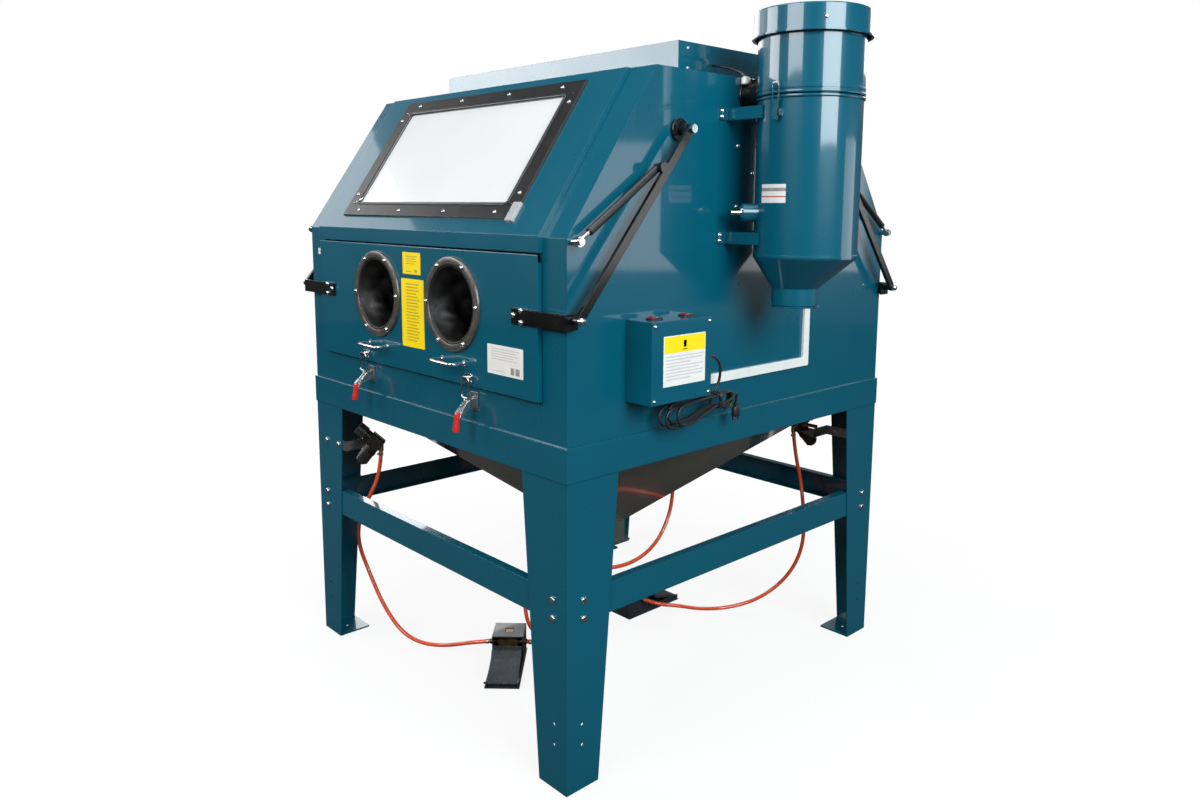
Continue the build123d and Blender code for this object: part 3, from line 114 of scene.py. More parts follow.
def ranged(tree, value, low, high, start=0.3, stop=0.7):
    """Map start to stop onto low to high."""
    node = tree.nodes.new("ShaderNodeMapRange")
    node.inputs["From Min"].default_value, node.inputs["From Max"].default_value = start, stop
    node.inputs["To Min"].default_value, node.inputs["To Max"].default_value = low, high
    tree.links.new(value, node.inputs["Value"])
    return node.outputs["Result"]


def finish(name, light, dark, rough, metal=0.0, coat=0.0, patch=4.0, rough_swing=0.06, grain=0.1,
           grain_size=0.002, stretch=None, rounded=0.0, coat_rough=0.05, glow=0.0, specular=0.5):
    """Principled finish with drifting colour, uneven gloss and a fine surface grain."""
    made = bpy.data.materials.new(name)
    made.use_nodes = True
    tree = made.node_tree
    shader = tree.nodes["Principled BSDF"]
    blend = tree.nodes.new("ShaderNodeMix")
    blend.data_type = "RGBA"
    blend.inputs["A"].default_value, blend.inputs["B"].default_value = (*dark, 1), (*light, 1)
    tree.links.new(ranged(tree, noise(tree, patch, 4.0, stretch), 0.0, 1.0), blend.inputs["Factor"])
    tree.links.new(blend.outputs["Result"], shader.inputs["Base Color"])
    gloss = ranged(tree, noise(tree, patch * 7, 5.0, stretch), rough - rough_swing, rough + rough_swing)
    tree.links.new(gloss, shader.inputs["Roughness"])
    shader.inputs["Metallic"].default_value = metal
    shader.inputs["Specular IOR Level"].default_value = specular
    shader.inputs["Coat Weight"].default_value = coat
    shader.inputs["Coat Roughness"].default_value = coat_rough
    if glow:
        shader.inputs["Emission Color"].default_value = (*light, 1)
        shader.inputs["Emission Strength"].default_value = glow
    bump = tree.nodes.new("ShaderNodeBump")
    bump.inputs["Strength"].default_value = grain
    bump.inputs["Distance"].default_value = grain_size * 0.2
    tree.links.new(noise(tree, 1 / grain_size, 2.0, stretch), bump.inputs["Height"])
    if rounded:
        edge = tree.nodes.new("ShaderNodeBevel")
        edge.samples = 4
        edge.inputs["Radius"].default_value = rounded
        tree.links.new(edge.outputs["Normal"], bump.inputs["Normal"])
    tree.links.new(bump.outputs["Normal"], shader.inputs["Normal"])
    return made


TEAL = finish("teal_paint", (0.0003, 0.094, 0.15), (0.0003, 0.084, 0.134), 0.3, coat=1.0, patch=1.2,
              rough_swing=0.04, grain=0.05, grain_size=0.005, rounded=0.0028, coat_rough=0.06, specular=0.25)
BLACK = finish("black_paint", (0.0055, 0.0055, 0.006), (0.003, 0.003, 0.0034), 0.24, coat=0.7, grain=0.15,
               grain_size=0.0015, rounded=0.003, coat_rough=0.12, specular=0.3)
SEAL = finish("black_moulding", (0.016, 0.016, 0.017), (0.009, 0.009, 0.0095), 0.34, grain=0.2,
              grain_size=0.0012, rounded=0.001, coat=0.3, coat_rough=0.25)
RUBBER = finish("glove_rubber", (0.013, 0.0125, 0.012), (0.006, 0.0058, 0.0056), 0.55, patch=14,
                rough_swing=0.1, grain=0.45, grain_size=0.003)
RING = finish("ring_metal", (0.15, 0.14, 0.13), (0.085, 0.078, 0.072), 0.34, metal=0.55, patch=40,
              rough_swing=0.1, grain=0.4, grain_size=0.0012)
CHROME = finish("chrome", (0.82, 0.83, 0.84), (0.7, 0.71, 0.72), 0.14, metal=1.0, patch=60, rough_swing=0.05,
                grain=0.05, grain_size=0.001)
ZINC = finish("zinc", (0.6, 0.61, 0.62), (0.42, 0.43, 0.44), 0.33, metal=1.0, patch=90, rough_swing=0.1,
              grain=0.25, grain_size=0.0008)
BRASS = finish("brass", (0.72, 0.47, 0.17), (0.5, 0.31, 0.1), 0.3, metal=1.0, patch=70, rough_swing=0.1,
               grain=0.2, grain_size=0.0008)
WHITE = finish("white_paint", (0.86, 0.86, 0.84), (0.8, 0.8, 0.79), 0.3, coat=0.5, patch=6, grain=0.12,
               grain_size=0.003, rounded=0.0008)
# Hopper: dark teal gloss paint mixed by noise with light tan patches, which are a painted reflection of a
# brownish floor
HOPPER_PAINT_AND_REFLECTION = finish("hopper_paint", (0.36, 0.32, 0.26), (0.03, 0.09, 0.1), 0.24, metal=0.5, coat=1.0,
                      patch=1.1, rough_swing=0.05, grain=0.06, grain_size=0.005, rounded=0.0012,
                      coat_rough=0.08)
VALVE = finish("aged_brass", (0.34, 0.2, 0.08), (0.12, 0.07, 0.035), 0.36, metal=0.9, patch=60,
               rough_swing=0.1, grain=0.3, grain_size=0.001)
TAN = finish("pedal_button", (0.46, 0.31, 0.16), (0.36, 0.24, 0.12), 0.5, patch=60, grain=0.2,
             grain_size=0.001)
ROCKER = finish("rocker_red", (0.42, 0.028, 0.02), (0.3, 0.018, 0.014), 0.28, coat=0.6, patch=40, grain=0.1)
RED = finish("red_grip", (0.72, 0.022, 0.018), (0.55, 0.014, 0.012), 0.3, coat=0.5, patch=30, grain=0.2,
             grain_size=0.0015)
HOSE = finish("red_hose", (0.9, 0.115, 0.04), (0.78, 0.08, 0.025), 0.24, coat=0.7, patch=18, rough_swing=0.05,
              grain=0.12, grain_size=0.0015)
CORD = finish("black_cord", (0.022, 0.022, 0.023), (0.012, 0.012, 0.013), 0.42, patch=30, grain=0.3,
              grain_size=0.0012)
PLASTIC = finish("black_plastic", (0.02, 0.02, 0.021), (0.011, 0.011, 0.012), 0.38, patch=40, grain=0.4,
                 grain_size=0.0008)
BODY_GREY = finish("regulator_metal", (0.06, 0.05, 0.04), (0.025, 0.021, 0.017), 0.34, metal=0.6, patch=30,
                   grain=0.35, grain_size=0.0012)
BOWL = finish("bowl_plastic", (0.02, 0.02, 0.02), (0.009, 0.009, 0.0095), 0.25, coat=0.5, patch=20, grain=0.1,
              grain_size=0.002)
PEDAL = finish("pedal_paint", (0.03, 0.04, 0.048), (0.016, 0.022, 0.028), 0.36, coat=0.4, patch=12, grain=0.5,
               grain_size=0.0018, rounded=0.0008)
PLATE = finish("tread_steel", (0.11, 0.13, 0.135), (0.06, 0.072, 0.076), 0.3, metal=0.6, patch=16, grain=0.3,
               grain_size=0.001)
LENS = finish("lamp_lens", (0.9, 0.9, 0.88), (0.82, 0.82, 0.8), 0.5, patch=20, grain=0.3, grain_size=0.002)
LAMP = finish("lamp_tube", (0.95, 0.95, 0.92), (0.9, 0.9, 0.88), 0.3, patch=20, grain=0.05, glow=1.2)
PAPER = finish("filter_paper", (0.78, 0.74, 0.64), (0.66, 0.62, 0.53), 0.8, patch=20, grain=0.6,
               grain_size=0.004, stretch=(1, 1, 0.05))
YELLOW = finish("label_yellow", (0.98, 0.74, 0.004), (0.93, 0.69, 0.003), 0.36, patch=20, grain=0.08)
PRINT = finish("label_print", (0.58, 0.4, 0.012), (0.48, 0.33, 0.01), 0.5, patch=60, grain=0.05)
LABEL_WHITE = finish("label_white", (0.84, 0.82, 0.79), (0.76, 0.75, 0.73), 0.4, patch=20, grain=0.08)
LABEL_GREY = finish("label_grey", (0.34, 0.32, 0.31), (0.25, 0.24, 0.23), 0.5, patch=60, grain=0.05)
LABEL_FAINT = finish("label_faint", (0.62, 0.61, 0.6), (0.55, 0.54, 0.53), 0.5, patch=60, grain=0.05)
CLIP = finish("clip_grey", (0.4, 0.41, 0.42), (0.3, 0.31, 0.32), 0.4, patch=30, grain=0.2, rounded=0.001)
LABEL_RED = finish("label_red", (0.5, 0.03, 0.02), (0.4, 0.02, 0.015), 0.5, patch=60, grain=0.05)
# Window pane: clear glass painted opaque pale white, a painted stand-in for the lit inside of the cabinet
# seen through it
PANE_PAINTED_INNER_LIGHT = finish("window_pane", (0.76, 0.78, 0.78), (0.68, 0.7, 0.7), 0.16, patch=1.6, rough_swing=0.03,
              coat=1.0, grain=0.03, grain_size=0.02, coat_rough=0.02)


# Mesh building


def side_ways(axis):
    """Two directions across an axis, square to each other."""
    axis = Vector(axis).normalized()
    first = axis.cross(Vector(UPWARD) if abs(axis.z) < 0.9 else Vector(RIGHTWARD)).normalized()
    return first, axis.cross(first)


class Shape:
    """Collects faces in cabinet millimetres, with a material number for each."""

    def __init__(self):
        self.points, self.faces, self.kinds = [], [], []

    def add(self, points, faces, kind=0):
        base = len(self.points)
        self.points += [Vector(p) for p in points]
        self.faces += [[base + i for i in face] for face in faces]
        self.kinds += [kind] * len(faces)

    def rings(self, loops, kind=0, caps=True, joined=False):
        """Skin over equal loops of points; joined closes the last loop to the first."""
        count = len(loops[0])
        spans = range(len(loops) if joined else len(loops) - 1)
        faces = []
        for i in spans:
            below, above = i * count, (i + 1) % len(loops) * count
            for j in range(count):
                k = (j + 1) % count
                faces.append((below + j, below + k, above + k, above + j))
        if caps and not joined:
            faces.append(tuple(range(count))[::-1])
            faces.append(tuple((len(loops) - 1) * count + j for j in range(count)))
        self.add([p for loop in loops for p in loop], faces, kind)

    def lathe(self, origin, axis, outline, kind=0, parts=28, caps=True, joined=False):
        """Turned body; an outline entry is (radius, height) or (radius, height, sides) for a polygon."""
        origin, axis = Vector(origin), Vector(axis).normalized()
        across, beside = side_ways(axis)
        loops = []
        for entry in outline:
            radius, height = entry[0], entry[1]
            loop = []
            for step in range(parts):
                angle = 2 * math.pi * step / parts
                reach = radius
                if len(entry) > 2:
                    slice_angle = 2 * math.pi / entry[2]
                    reach = radius / math.cos((angle % slice_angle) - slice_angle / 2)
                spoke = across * math.cos(angle) + beside * math.sin(angle)
                loop.append(origin + axis * height + spoke * reach)
            loops.append(loop)
        self.rings(loops, kind, caps, joined)

    def tube(self, points, radius, kind=0, parts=12, caps=True, joined=False):
        """Round tube along points, without twist."""
        points = [Vector(p) for p in points]
        loops, across = [], None
        last = len(points) - 1
        for i, point in enumerate(points):
            before = points[i - 1] if i or joined else point
            after = points[(i + 1) % len(points)] if i < last or joined else point
            ahead = (after - before).normalized()
            if across is None:
                across = side_ways(ahead)[0]
            across = (across - ahead * across.dot(ahead)).normalized()
            beside = ahead.cross(across)
            angles = [2 * math.pi * s / parts for s in range(parts)]
            loops.append([point + (across * math.cos(a) + beside * math.sin(a)) * radius for a in angles])
        self.rings(loops, kind, caps, joined)

    def slab(self, outline, lift, kind=0, soft=0.0):
        """Plate from a flat outline, with its upper edge eased by soft."""
        outline, lift = [Vector(p) for p in outline], Vector(lift)
        middle = sum(outline, Vector()) / len(outline)
        loops = [outline]
        if soft:
            loops.append([p + lift * (1 - soft / lift.length) for p in outline])
            loops.append([p + lift + (middle - p).normalized() * soft for p in outline])
        else:
            loops.append([p + lift for p in outline])
        self.rings(loops, kind)

    def make(self, name, body, materials, slot=None, end="front", replaced=(), sharp=35):
        """Build the object and tell the frame what it rides on and replaces."""
        mesh = bpy.data.meshes.new(name)
        mesh.from_pydata([spot(p.x, p.y, p.z, end) for p in self.points], [], self.faces)
        for material in materials:
            mesh.materials.append(material)
        mesh.polygons.foreach_set("material_index", self.kinds)
        mesh.polygons.foreach_set("use_smooth", [True] * len(self.faces))
        mesh.validate()
        outward = bmesh.new()
        outward.from_mesh(mesh)
        bmesh.ops.recalc_face_normals(outward, faces=outward.faces)
        outward.to_mesh(mesh)
        outward.free()
        mesh.set_sharp_from_angle(angle=math.radians(sharp))
        made = bpy.data.objects.new(name, mesh)
        bpy.context.scene.collection.objects.link(made)
        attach(made, body)
        if replaced:
            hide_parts(*replaced)
        return made


def rounded_outline(corner, across, up, width, height, radius, steps=5):
    """Rounded rectangle from its lower left corner."""
    corner, across, up = Vector(corner), Vector(across).normalized(), Vector(up).normalized()
    points = []
    for cx, cy, start in ((width - radius, radius, -90), (width - radius, height - radius, 0),
                          (radius, height - radius, 90), (radius, radius, 180)):
        for step in range(steps + 1):
            angle = math.radians(start + 90 * step / steps)
            sideways, rise = cx + radius * math.cos(angle), cy + radius * math.sin(angle)
            points.append(corner + across * sideways + up * rise)
    return points


def screw(shape, origin, axis, radius, height, kind=0, washer=0.0):
    """Domed socket screw, with an optional washer under it."""
    if washer:
        shape.lathe(origin, axis, [(washer, 0), (washer, 0.9), (washer - 0.5, 1.3), (radius, 1.3)], kind)
        origin = Vector(origin) + Vector(axis).normalized() * 1.2
    dome = [(radius, 0), (radius, height * 0.25), (radius * 0.93, height * 0.55),
            (radius * 0.75, height * 0.85), (radius * 0.52, height), (radius * 0.36, height, 6),
            (radius * 0.33, height * 0.35, 6)]
    shape.lathe(origin, axis, dome, kind, parts=24)


def cover(node, material):
    """Gives a CAD node its finish."""
    for place in NODES[node].material_slots:
        place.material = material
    if not NODES[node].material_slots:
        NODES[node].data.materials.append(material)


def copy_of(node, name, body, materials, rule):
    """Shown copy of a CAD node whose faces take materials by where their centres are."""
    mesh = NODES[node].data.copy()
    mesh.name = name
    mesh.materials.clear()
    for material in materials:
        mesh.materials.append(material)
    kinds = []
    for face in mesh.polygons:
        x, y, z = face.center
        kinds.append(rule((x - CENTRE_X) / MM, y / MM, z / MM))
    mesh.polygons.foreach_set("material_index", kinds)
    mesh.update()
    made = bpy.data.objects.new(name, mesh)
    bpy.context.scene.collection.objects.link(made)
    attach(made, body)
    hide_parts(node)


# Cords and hoses: the same routes as the CAD tubes


def spline(name, points, radius, material):
    """One round NURBS cord through millimetre points."""
    data = bpy.data.curves.new(name, "CURVE")
    data.dimensions = "3D"
    data.resolution_u = 10
    data.bevel_depth = radius * MM
    data.bevel_resolution = 5
    data.use_fill_caps = True
    route = data.splines.new("NURBS")
    route.points.add(len(points) - 1)
    for place, point in zip(route.points, points):
        place.co = (*spot(*point), 1)
    route.order_u = 3
    route.use_endpoint_u = True
    data.materials.append(material)
    made = bpy.data.objects.new(name, data)
    bpy.context.scene.collection.objects.link(made)
    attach(made, "frame")
    return made


def pedal_point(pedal, x, y, z):
    """Point given about a pedal's heel, turned with the pedal."""
    (heel_x, heel_y), turn = pedal
    c, s = math.cos(math.radians(turn)), math.sin(math.radians(turn))
    return (heel_x + x * c - y * s, heel_y + x * s + y * c, z)


FRONT_SUPPLY = [
    (-350, -564, 622), (-352, -568, 550), (-400, -585, 462), (-470, -578, 385), (-510, -567, 290),
    (-478, -546, 190), (-415, -535, 98), (-345, -515, 28), (-270, -490, 8), (-195, -450, 14),
    pedal_point(HEEL_FRONT, PORT_SIDE + 60, PORT_BACK, PORT_HEIGHT - 5),
    pedal_point(HEEL_FRONT, PORT_SIDE, PORT_BACK, PORT_HEIGHT),
]
FRONT_GUN = [
    pedal_point(HEEL_FRONT, -PORT_SIDE, PORT_BACK, PORT_HEIGHT),
    (44, -270, 52), (59, -232, 38), (52, -196, 22), (22, -172, 12), (-16, -180, 12), (-40, -212, 30),
    (-46, -238, 62), (-48, -250, 104), (-50, -254, 160), (-44, -238, 212), (-10, -190, 246), (42, -125, 253),
    (100, -50, 240), (122, 50, 241), (112, 155, 266), (102, 226, 328), (100, 255, 410), (100, 255, 492),
]
REAR_SUPPLY = [
    (350, 564, 622), (356, 570, 550), (375, 580, 460), (402, 563, 370), (410, 560, 270), (386, 556, 180),
    (333, 545, 95), (275, 490, 34), (220, 405, 13), (178, 312, 24), (150, 236, 50),
    pedal_point(HEEL_REAR, PORT_SIDE + 58, PORT_BACK, PORT_HEIGHT + 2),
    pedal_point(HEEL_REAR, PORT_SIDE, PORT_BACK, PORT_HEIGHT),
]


def hose_clamp(shape, centre, direction, kind=0):
    """Worm-drive band round a hose end."""
    shape.lathe(centre, direction, [(6.2, -4), (7.1, -4), (7.1, 4), (6.2, 4)], kind, parts=32, joined=True)
    across, beside = side_ways(direction)
    base = Vector(centre) + across * 7 - beside * 4 - Vector(direction).normalized() * 3.5
    shape.slab(rounded_outline(base, beside, direction, 8, 7, 1.5), across * 4, kind, soft=0.8)


def make_hoses():
    """The three air hoses with their clamps."""
    routes = (("front_supply_hose", FRONT_SUPPLY, "hose_front_supply", 1.02),
              ("front_gun_hose", FRONT_GUN, "hose_front_gun", 1.13),
              ("rear_supply_hose", REAR_SUPPLY, "hose_rear_supply", 1.07))
    for name, points, node, length in routes:
        hose = spline(name, points, HOSE_R, HOSE)
        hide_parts(node)
        bands = Shape()
        for here, then in ((points[0], points[1]), (points[-1], points[-2])):
            along = (Vector(then) - Vector(here)).normalized()
            hose_clamp(bands, Vector(here) + along * 9, along)
        clamps = bands.make(name + "_clamps", "frame", [ZINC], "steel")


def hank_turn(column, front, middle, spread, out):
    """One turn of the tied cord: top run, loose front loop, bottom run, and the fold behind the tie."""
    x = HANK_X + column
    wide = HANK_X + column * spread
    points = [(x, TIE_Y, 897), (x, TIE_Y - 40, middle + 30), (wide, front + 62, middle + 25.5)]
    for angle in (112, 157, 202, 247):
        turn = math.radians(angle)
        points.append((wide, front + 27 + 27 * math.cos(turn), middle + 26 * math.sin(turn)))
    points += [(wide, front + 62, middle - 23), (x, TIE_Y - 42, middle - 12 + (884 - middle) * 0.5),
               (x, TIE_Y, 877)]
    if out:
        for step, angle in enumerate((-68, -23, 22, 67)):
            turn = math.radians(angle)
            points.append((x + 1.5 * (step + 1), -163 + 25 * math.cos(turn), 882 + 25 * math.sin(turn)))
    return points


def cord_route():
    """Mains cord's centre line, from its gland through the hank to the plug."""
    points = [GLAND, (640, -205, 1000), (641, -176, 975), (636, -170, 938), (633.5, -182, 910)]
    turns = ((-11.4, -385, 867, 1.3, True), (-3.8, -364, 872, 1.5, True), (3.8, -379, 863, 0.6, True),
             (11.4, -352, 869, 1.25, False))
    for column, front, middle, spread, out in turns:
        points += hank_turn(column, front, middle, spread, out)
    return points + [(658, -170, 878), (659, -147, 888), (654, -126, 897), (646, -116, 888), (645, -116, 868)]


def plug_and_pins():
    """Moulded plug, its ribs and two round pins."""
    body, pins = Shape(), Shape()
    loops = []
    for z, wide, deep in ((870, 4.6, 4.6), (866, 5.4, 5.6), (858, 6, 7), (857, 7, 11), (853, 7.6, 13),
                          (842, 7.8, 13.4), (834, 7.4, 12.6), (832.5, 6.6, 11.6)):
        loop = []
        for angle in (2 * math.pi * s / 28 for s in range(28)):
            bulge = math.copysign(abs(math.sin(angle)) ** 0.7, math.sin(angle))
            loop.append(Vector((PLUG_X + wide * math.cos(angle), PLUG_Y + deep * bulge, z)))
        loops.append(loop)
    body.rings(loops[::-1])
    for z in (868, 864.5, 861):
        rib = [(5, -1), (6.4, -0.8), (6.4, 0.8), (5, 1)]
        body.lathe((PLUG_X, PLUG_Y, z), UPWARD, rib, parts=24, joined=True)
    for side in (-9.5, 9.5):
        root = (PLUG_X, PLUG_Y + side, 833)
        pins.lathe(root, (0, 0, -1), [(2.1, -2), (2.1, 17), (1.6, 18.6), (0.8, 19)], parts=20)
        body.lathe(root, (0, 0, -1), [(2.2, -1), (2.7, 0), (2.7, 8), (2.2, 8.6)], parts=20, joined=True)
    plug = body.make("mains_plug", "frame", [PLASTIC], "black_plastic", replaced=["power_plug"])
    return plug, pins.make("mains_plug_pins", "frame", [CHROME], "steel", replaced=["power_plug"])


def make_power_cord():
    """Cord with its strain relief, the tie round the hank and the plug."""
    cord = spline("mains_cord", cord_route(), CORD_R, CORD)
    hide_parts("power_cord", "power_cord_hank")
    relief = Shape()
    outline = [(9.5, -3), (9.5, 2), (7.4, 4)]
    for rib in range(5):
        start, radius = 5 + 4.4 * rib, 7.2 - 0.62 * rib
        outline += [(radius, start), (radius, start + 2.4), (radius - 1.1, start + 2.9),
                    (radius - 1.2, start + 4.1)]
    relief.lathe(GLAND, INWARD, outline + [(4.1, 29), (3.6, 30)], parts=28)
    boot = relief.make("cord_strain_relief", "frame", [PLASTIC], "black_plastic")
    tie = Shape()
    band = rounded_outline((HANK_X - 17, TIE_Y, 869), RIGHTWARD, UPWARD, 34, 36, 9, steps=6)
    for y in (-3.2, 0, 3.2):
        tie.tube([p + Vector((0, y, 0.5 * y)) for p in band], 1.9, parts=8, joined=True)
    for tail in (((661, 0, 884), (666, -4, 890), (668, -10, 900), (664, -14, 906)),
                 ((661, 1, 882), (667, 5, 880), (669, 9, 871), (667, 10, 862))):
        tie.tube([(x, TIE_Y + y, z) for x, y, z in tail], 1.5, parts=8)
    knot = tie.make("cord_tie", "frame", [CORD], "rubber")
    plug, pins = plug_and_pins()


make_camera()
make_hoses()
make_power_cord()


# Finishes of the CAD pieces that show as they are

FINISHES = (
    (TEAL, ("side_panel_right", "side_panel_left", "end_panels", "roof_panel", "skirt_frame", "legs",
            "stretchers", "light_housing", "collector_head", "collector_lid", "collector_cap", "door_front",
            "door_rear", "drain_door", "control_box_cover", "collector_brackets")),
    (HOPPER_PAINT_AND_REFLECTION, ("hopper",)),
    (BLACK, ("work_grate", "collector_duct")),
    (SEAL, ("window_frames", "strut_tubes_front", "strut_tubes_rear")),
    (PANE_PAINTED_INNER_LIGHT, ("window_panes",)),
    (WHITE, ("side_rail",)),
    (CHROME, ("frame_bolts", "strut_rods_front", "strut_rods_rear", "drum_latch")),
    (ZINC, ("latch_bases",)),
    (ROCKER, ("rocker_1", "rocker_2")),
    (PLASTIC, ("regulator_knob_front", "regulator_knob_rear")),
    (PEDAL, ("pedal_bases",)),
    (PLATE, ("treadle_front", "treadle_rear")),
    (LENS, ("light_lens",)),
    (LAMP, ("lamp_tubes",)),
    (PAPER, ("filter_cartridge",)),
)
for material, names in FINISHES:
    for node in names:
        cover(node, material)

copy_of("air_fittings", "air_fittings_parts", "frame", [VALVE, BRASS],
        lambda x, y, z: int(z > 450))
for end in ENDS:
    copy_of(f"lift_arms_{end}", f"lift_arms_{end}_bars", f"door_{end}_body", [BLACK, CHROME],
            lambda x, y, z: int(abs(x) > 640.6))
copy_of("lift_pivots", "lift_pivots_parts", "frame", [BLACK, CHROME],
        lambda x, y, z: int(abs(x) > 640.6 or (abs(z - 1284) < 12 and abs(x) > 596)))
copy_of("control_box", "control_box_shell", "frame", [TEAL, PLASTIC],
        lambda x, y, z: int(z > 1103.4 or y > -255.5))
copy_of("collector_drum", "collector_drum_shell", "frame", [TEAL, CHROME],
        lambda x, y, z: int(y < -126.3 and 1540 < z < 1605 and abs(x - 755) < 16))

REGULATOR, BOWL_DIR = Vector((-365, -572, 648)), Vector((-0.421, -0.461, -0.781))


def regulator_kind(x, y, z):
    """0 for the metal body, 1 for the bowl, 2 for the bracket strap."""
    point = Vector((x, y, z)) if x < 0 else Vector((-x, -y, z))
    away = point - REGULATOR
    down = away.dot(BOWL_DIR)
    if down > 38.5 and (away - BOWL_DIR * down).length < 24:
        return 1
    return 2 if point.x < -400 or point.y < -612 else 0


copy_of("regulators", "regulator_units", "frame", [BODY_GREY, BOWL, ZINC], regulator_kind)


# Stations: glove rings, sleeves, handles, latches, window screws, labels

# A glove sleeve's sections: depth, centre height and radius
SLEEVE = ((-654, 1117, 95), (-600, 1098, 88), (-560, 1070, 82), (-460, 1030, 64), (-380, 1008, 50),
          (-325, 998, 30))


def along_sleeve(share):
    """Depth, centre height and radius at a share of the sleeve's run."""
    place = share * (len(SLEEVE) - 1)
    i = min(int(place), len(SLEEVE) - 2)
    t = place - i
    return [a + (b - a) * t for a, b in zip(SLEEVE[i], SLEEVE[i + 1])]


def dent(distance, width):
    """Smooth hollow, 1 at its middle."""
    return math.exp(-(distance / width) ** 2)


def glove_pair(end):
    """Rubber sleeves rolled over the ring's lip, creased down their length and closed at the hand."""
    shape = Shape()
    for number, x in enumerate((-PORT_X, PORT_X)):
        loops = []
        for depth, radius in ((-657.5, 97.3), (-659.5, 95.5), (-658.5, 93.6)):
            loops.append([(x + radius * math.cos(a), depth, PORT_Z + radius * math.sin(a))
                          for a in (2 * math.pi * s / 72 for s in range(72))])
        for ring in range(46):
            share = ring / 45
            y, z, radius = along_sleeve(share)
            loop = []
            for s in range(72):
                a = 2 * math.pi * s / 72
                ease = min(1.0, share * 9)
                crease = 0.045 * math.sin(7 * a + 9 * share + number) + 0.03 * math.sin(3 * a - 21 * share)
                fold = 0.34 * dent(a - 3.5 - 0.5 * share, 0.42) * dent(share - 0.2, 0.16)
                flap = 0.2 * dent(a - 5.6, 0.5) * dent(share - 0.26, 0.12)
                r = (radius - 2) * (1 - ease * (abs(crease) + fold + flap))
                loop.append((x + r * math.cos(a), y, z + r * math.sin(a)))
            loops.append(loop)
        y, z, radius = SLEEVE[-1]
        for back, grow in ((10, 0.8), (16, 0.45)):
            loops.append([(x + radius * grow * math.cos(a), y + back, z + radius * grow * math.sin(a))
                          for a in (2 * math.pi * s / 72 for s in range(72))])
        shape.rings([[Vector(p) for p in loop] for loop in loops], caps=False)
        cap = len(shape.points)
        shape.add([Vector((x, y + 18, z))], [])
        shape.faces += [[cap, cap - 72 + s, cap - 72 + (s + 1) % 72] for s in range(72)]
        shape.kinds += [0] * 72
    made = shape.make(f"glove_sleeves_{end}", f"door_{end}_body", [RUBBER], "rubber", end, [f"gloves_{end}"],
                      sharp=60)
    wall = made.modifiers.new("wall", "SOLIDIFY")
    wall.thickness, wall.offset = 0.0022, 0


def glove_rings(end):
    ring, bolts = Shape(), Shape()
    section = [(98.2, 0.2), (98.2, 4.6), (99.3, 6.6), (101.5, 7.4), (114, 7.4), (116.6, 6.4), (118, 4.2),
               (118, 0.2)]
    for x in (-PORT_X, PORT_X):
        ring.lathe((x, DOOR_FACE, PORT_Z), OUTWARD, section, parts=96, joined=True)
        for step in range(6):
            angle = math.radians(60 * step)
            place = (x + 107.5 * math.cos(angle), DOOR_FACE - 7.2, PORT_Z + 107.5 * math.sin(angle))
            screw(bolts, place, OUTWARD, 4.6, 3.6, washer=6.4)
    body = f"door_{end}_body"
    ring.make(f"glove_rings_{end}", body, [RING], "steel", end, [f"door_fittings_{end}"])
    bolts.make(f"glove_ring_bolts_{end}", body, [CHROME], "steel", end, [f"door_fittings_{end}"])


def door_hardware(end):
    """Bow handles, catch loops and arm bolts, on the door face."""
    body, steel = f"door_{end}_body", Shape()
    for x in (-PORT_X, PORT_X):
        half, reach, bend = 48, 40, 12
        bow = [(x - half, 0), (x - half, bend - reach)]
        for middle, turns in ((x - half + bend, (200, 225, 250)), (x + half - bend, (290, 315, 340))):
            corner = []
            for angle in (math.radians(turn) for turn in turns):
                corner.append((middle + bend * math.cos(angle), bend - reach + bend * math.sin(angle)))
            straight = [(middle, -reach)]
            bow += corner + straight if middle < x else straight + corner
        bow += [(x + half, bend - reach), (x + half, 0)]
        steel.tube([(px, DOOR_FACE + py, HANDLE_Z) for px, py in bow], 4, parts=16)
        for foot in (x - half, x + half):
            steel.lathe((foot, DOOR_FACE, HANDLE_Z), OUTWARD, [(8.5, 0), (8.5, 1.6), (7.6, 2.8), (4.2, 3.4)])
    for x in (-250, 250):
        foot = rounded_outline((x - 16, DOOR_FACE, 929), RIGHTWARD, UPWARD, 32, 24, 4)
        steel.slab(foot, (0, -3, 0), soft=0.8)
        nose = rounded_outline((x - 12, DOOR_FACE - 3, 937), RIGHTWARD, UPWARD, 24, 10, 3)
        steel.slab(nose, (0, -12, 0), soft=2)
        loop = rounded_outline((x - 15, DOOR_FACE - 13, 895), RIGHTWARD, UPWARD, 30, 49, 7)
        steel.tube(loop, 2.1, parts=12, joined=True)
        for dx in (-11, 11):
            screw(steel, (x + dx, DOOR_FACE - 3, 934), OUTWARD, 3, 2)
    for side in (-1, 1):
        for x, z in ((434, 1114), (462, 1126), (462, 1099)):
            screw(steel, (side * x, DOOR_FACE - 6, z), OUTWARD, 6.5, 5)
    steel.make(f"door_hardware_{end}", body, [CHROME], "steel", end, [f"door_fittings_{end}"])


def grip_section(centre, along, wide, deep):
    """Rounded oblong across a grip."""
    side = Vector(RIGHTWARD)
    front = along.cross(side).normalized()
    loop = []
    for step in range(24):
        angle = 2 * math.pi * step / 24
        c, s = math.cos(angle), math.sin(angle)
        c, s = math.copysign(abs(c) ** 0.6, c), math.copysign(abs(s) ** 0.6, s)
        loop.append(centre + side * wide * c + front * deep * s)
    return loop


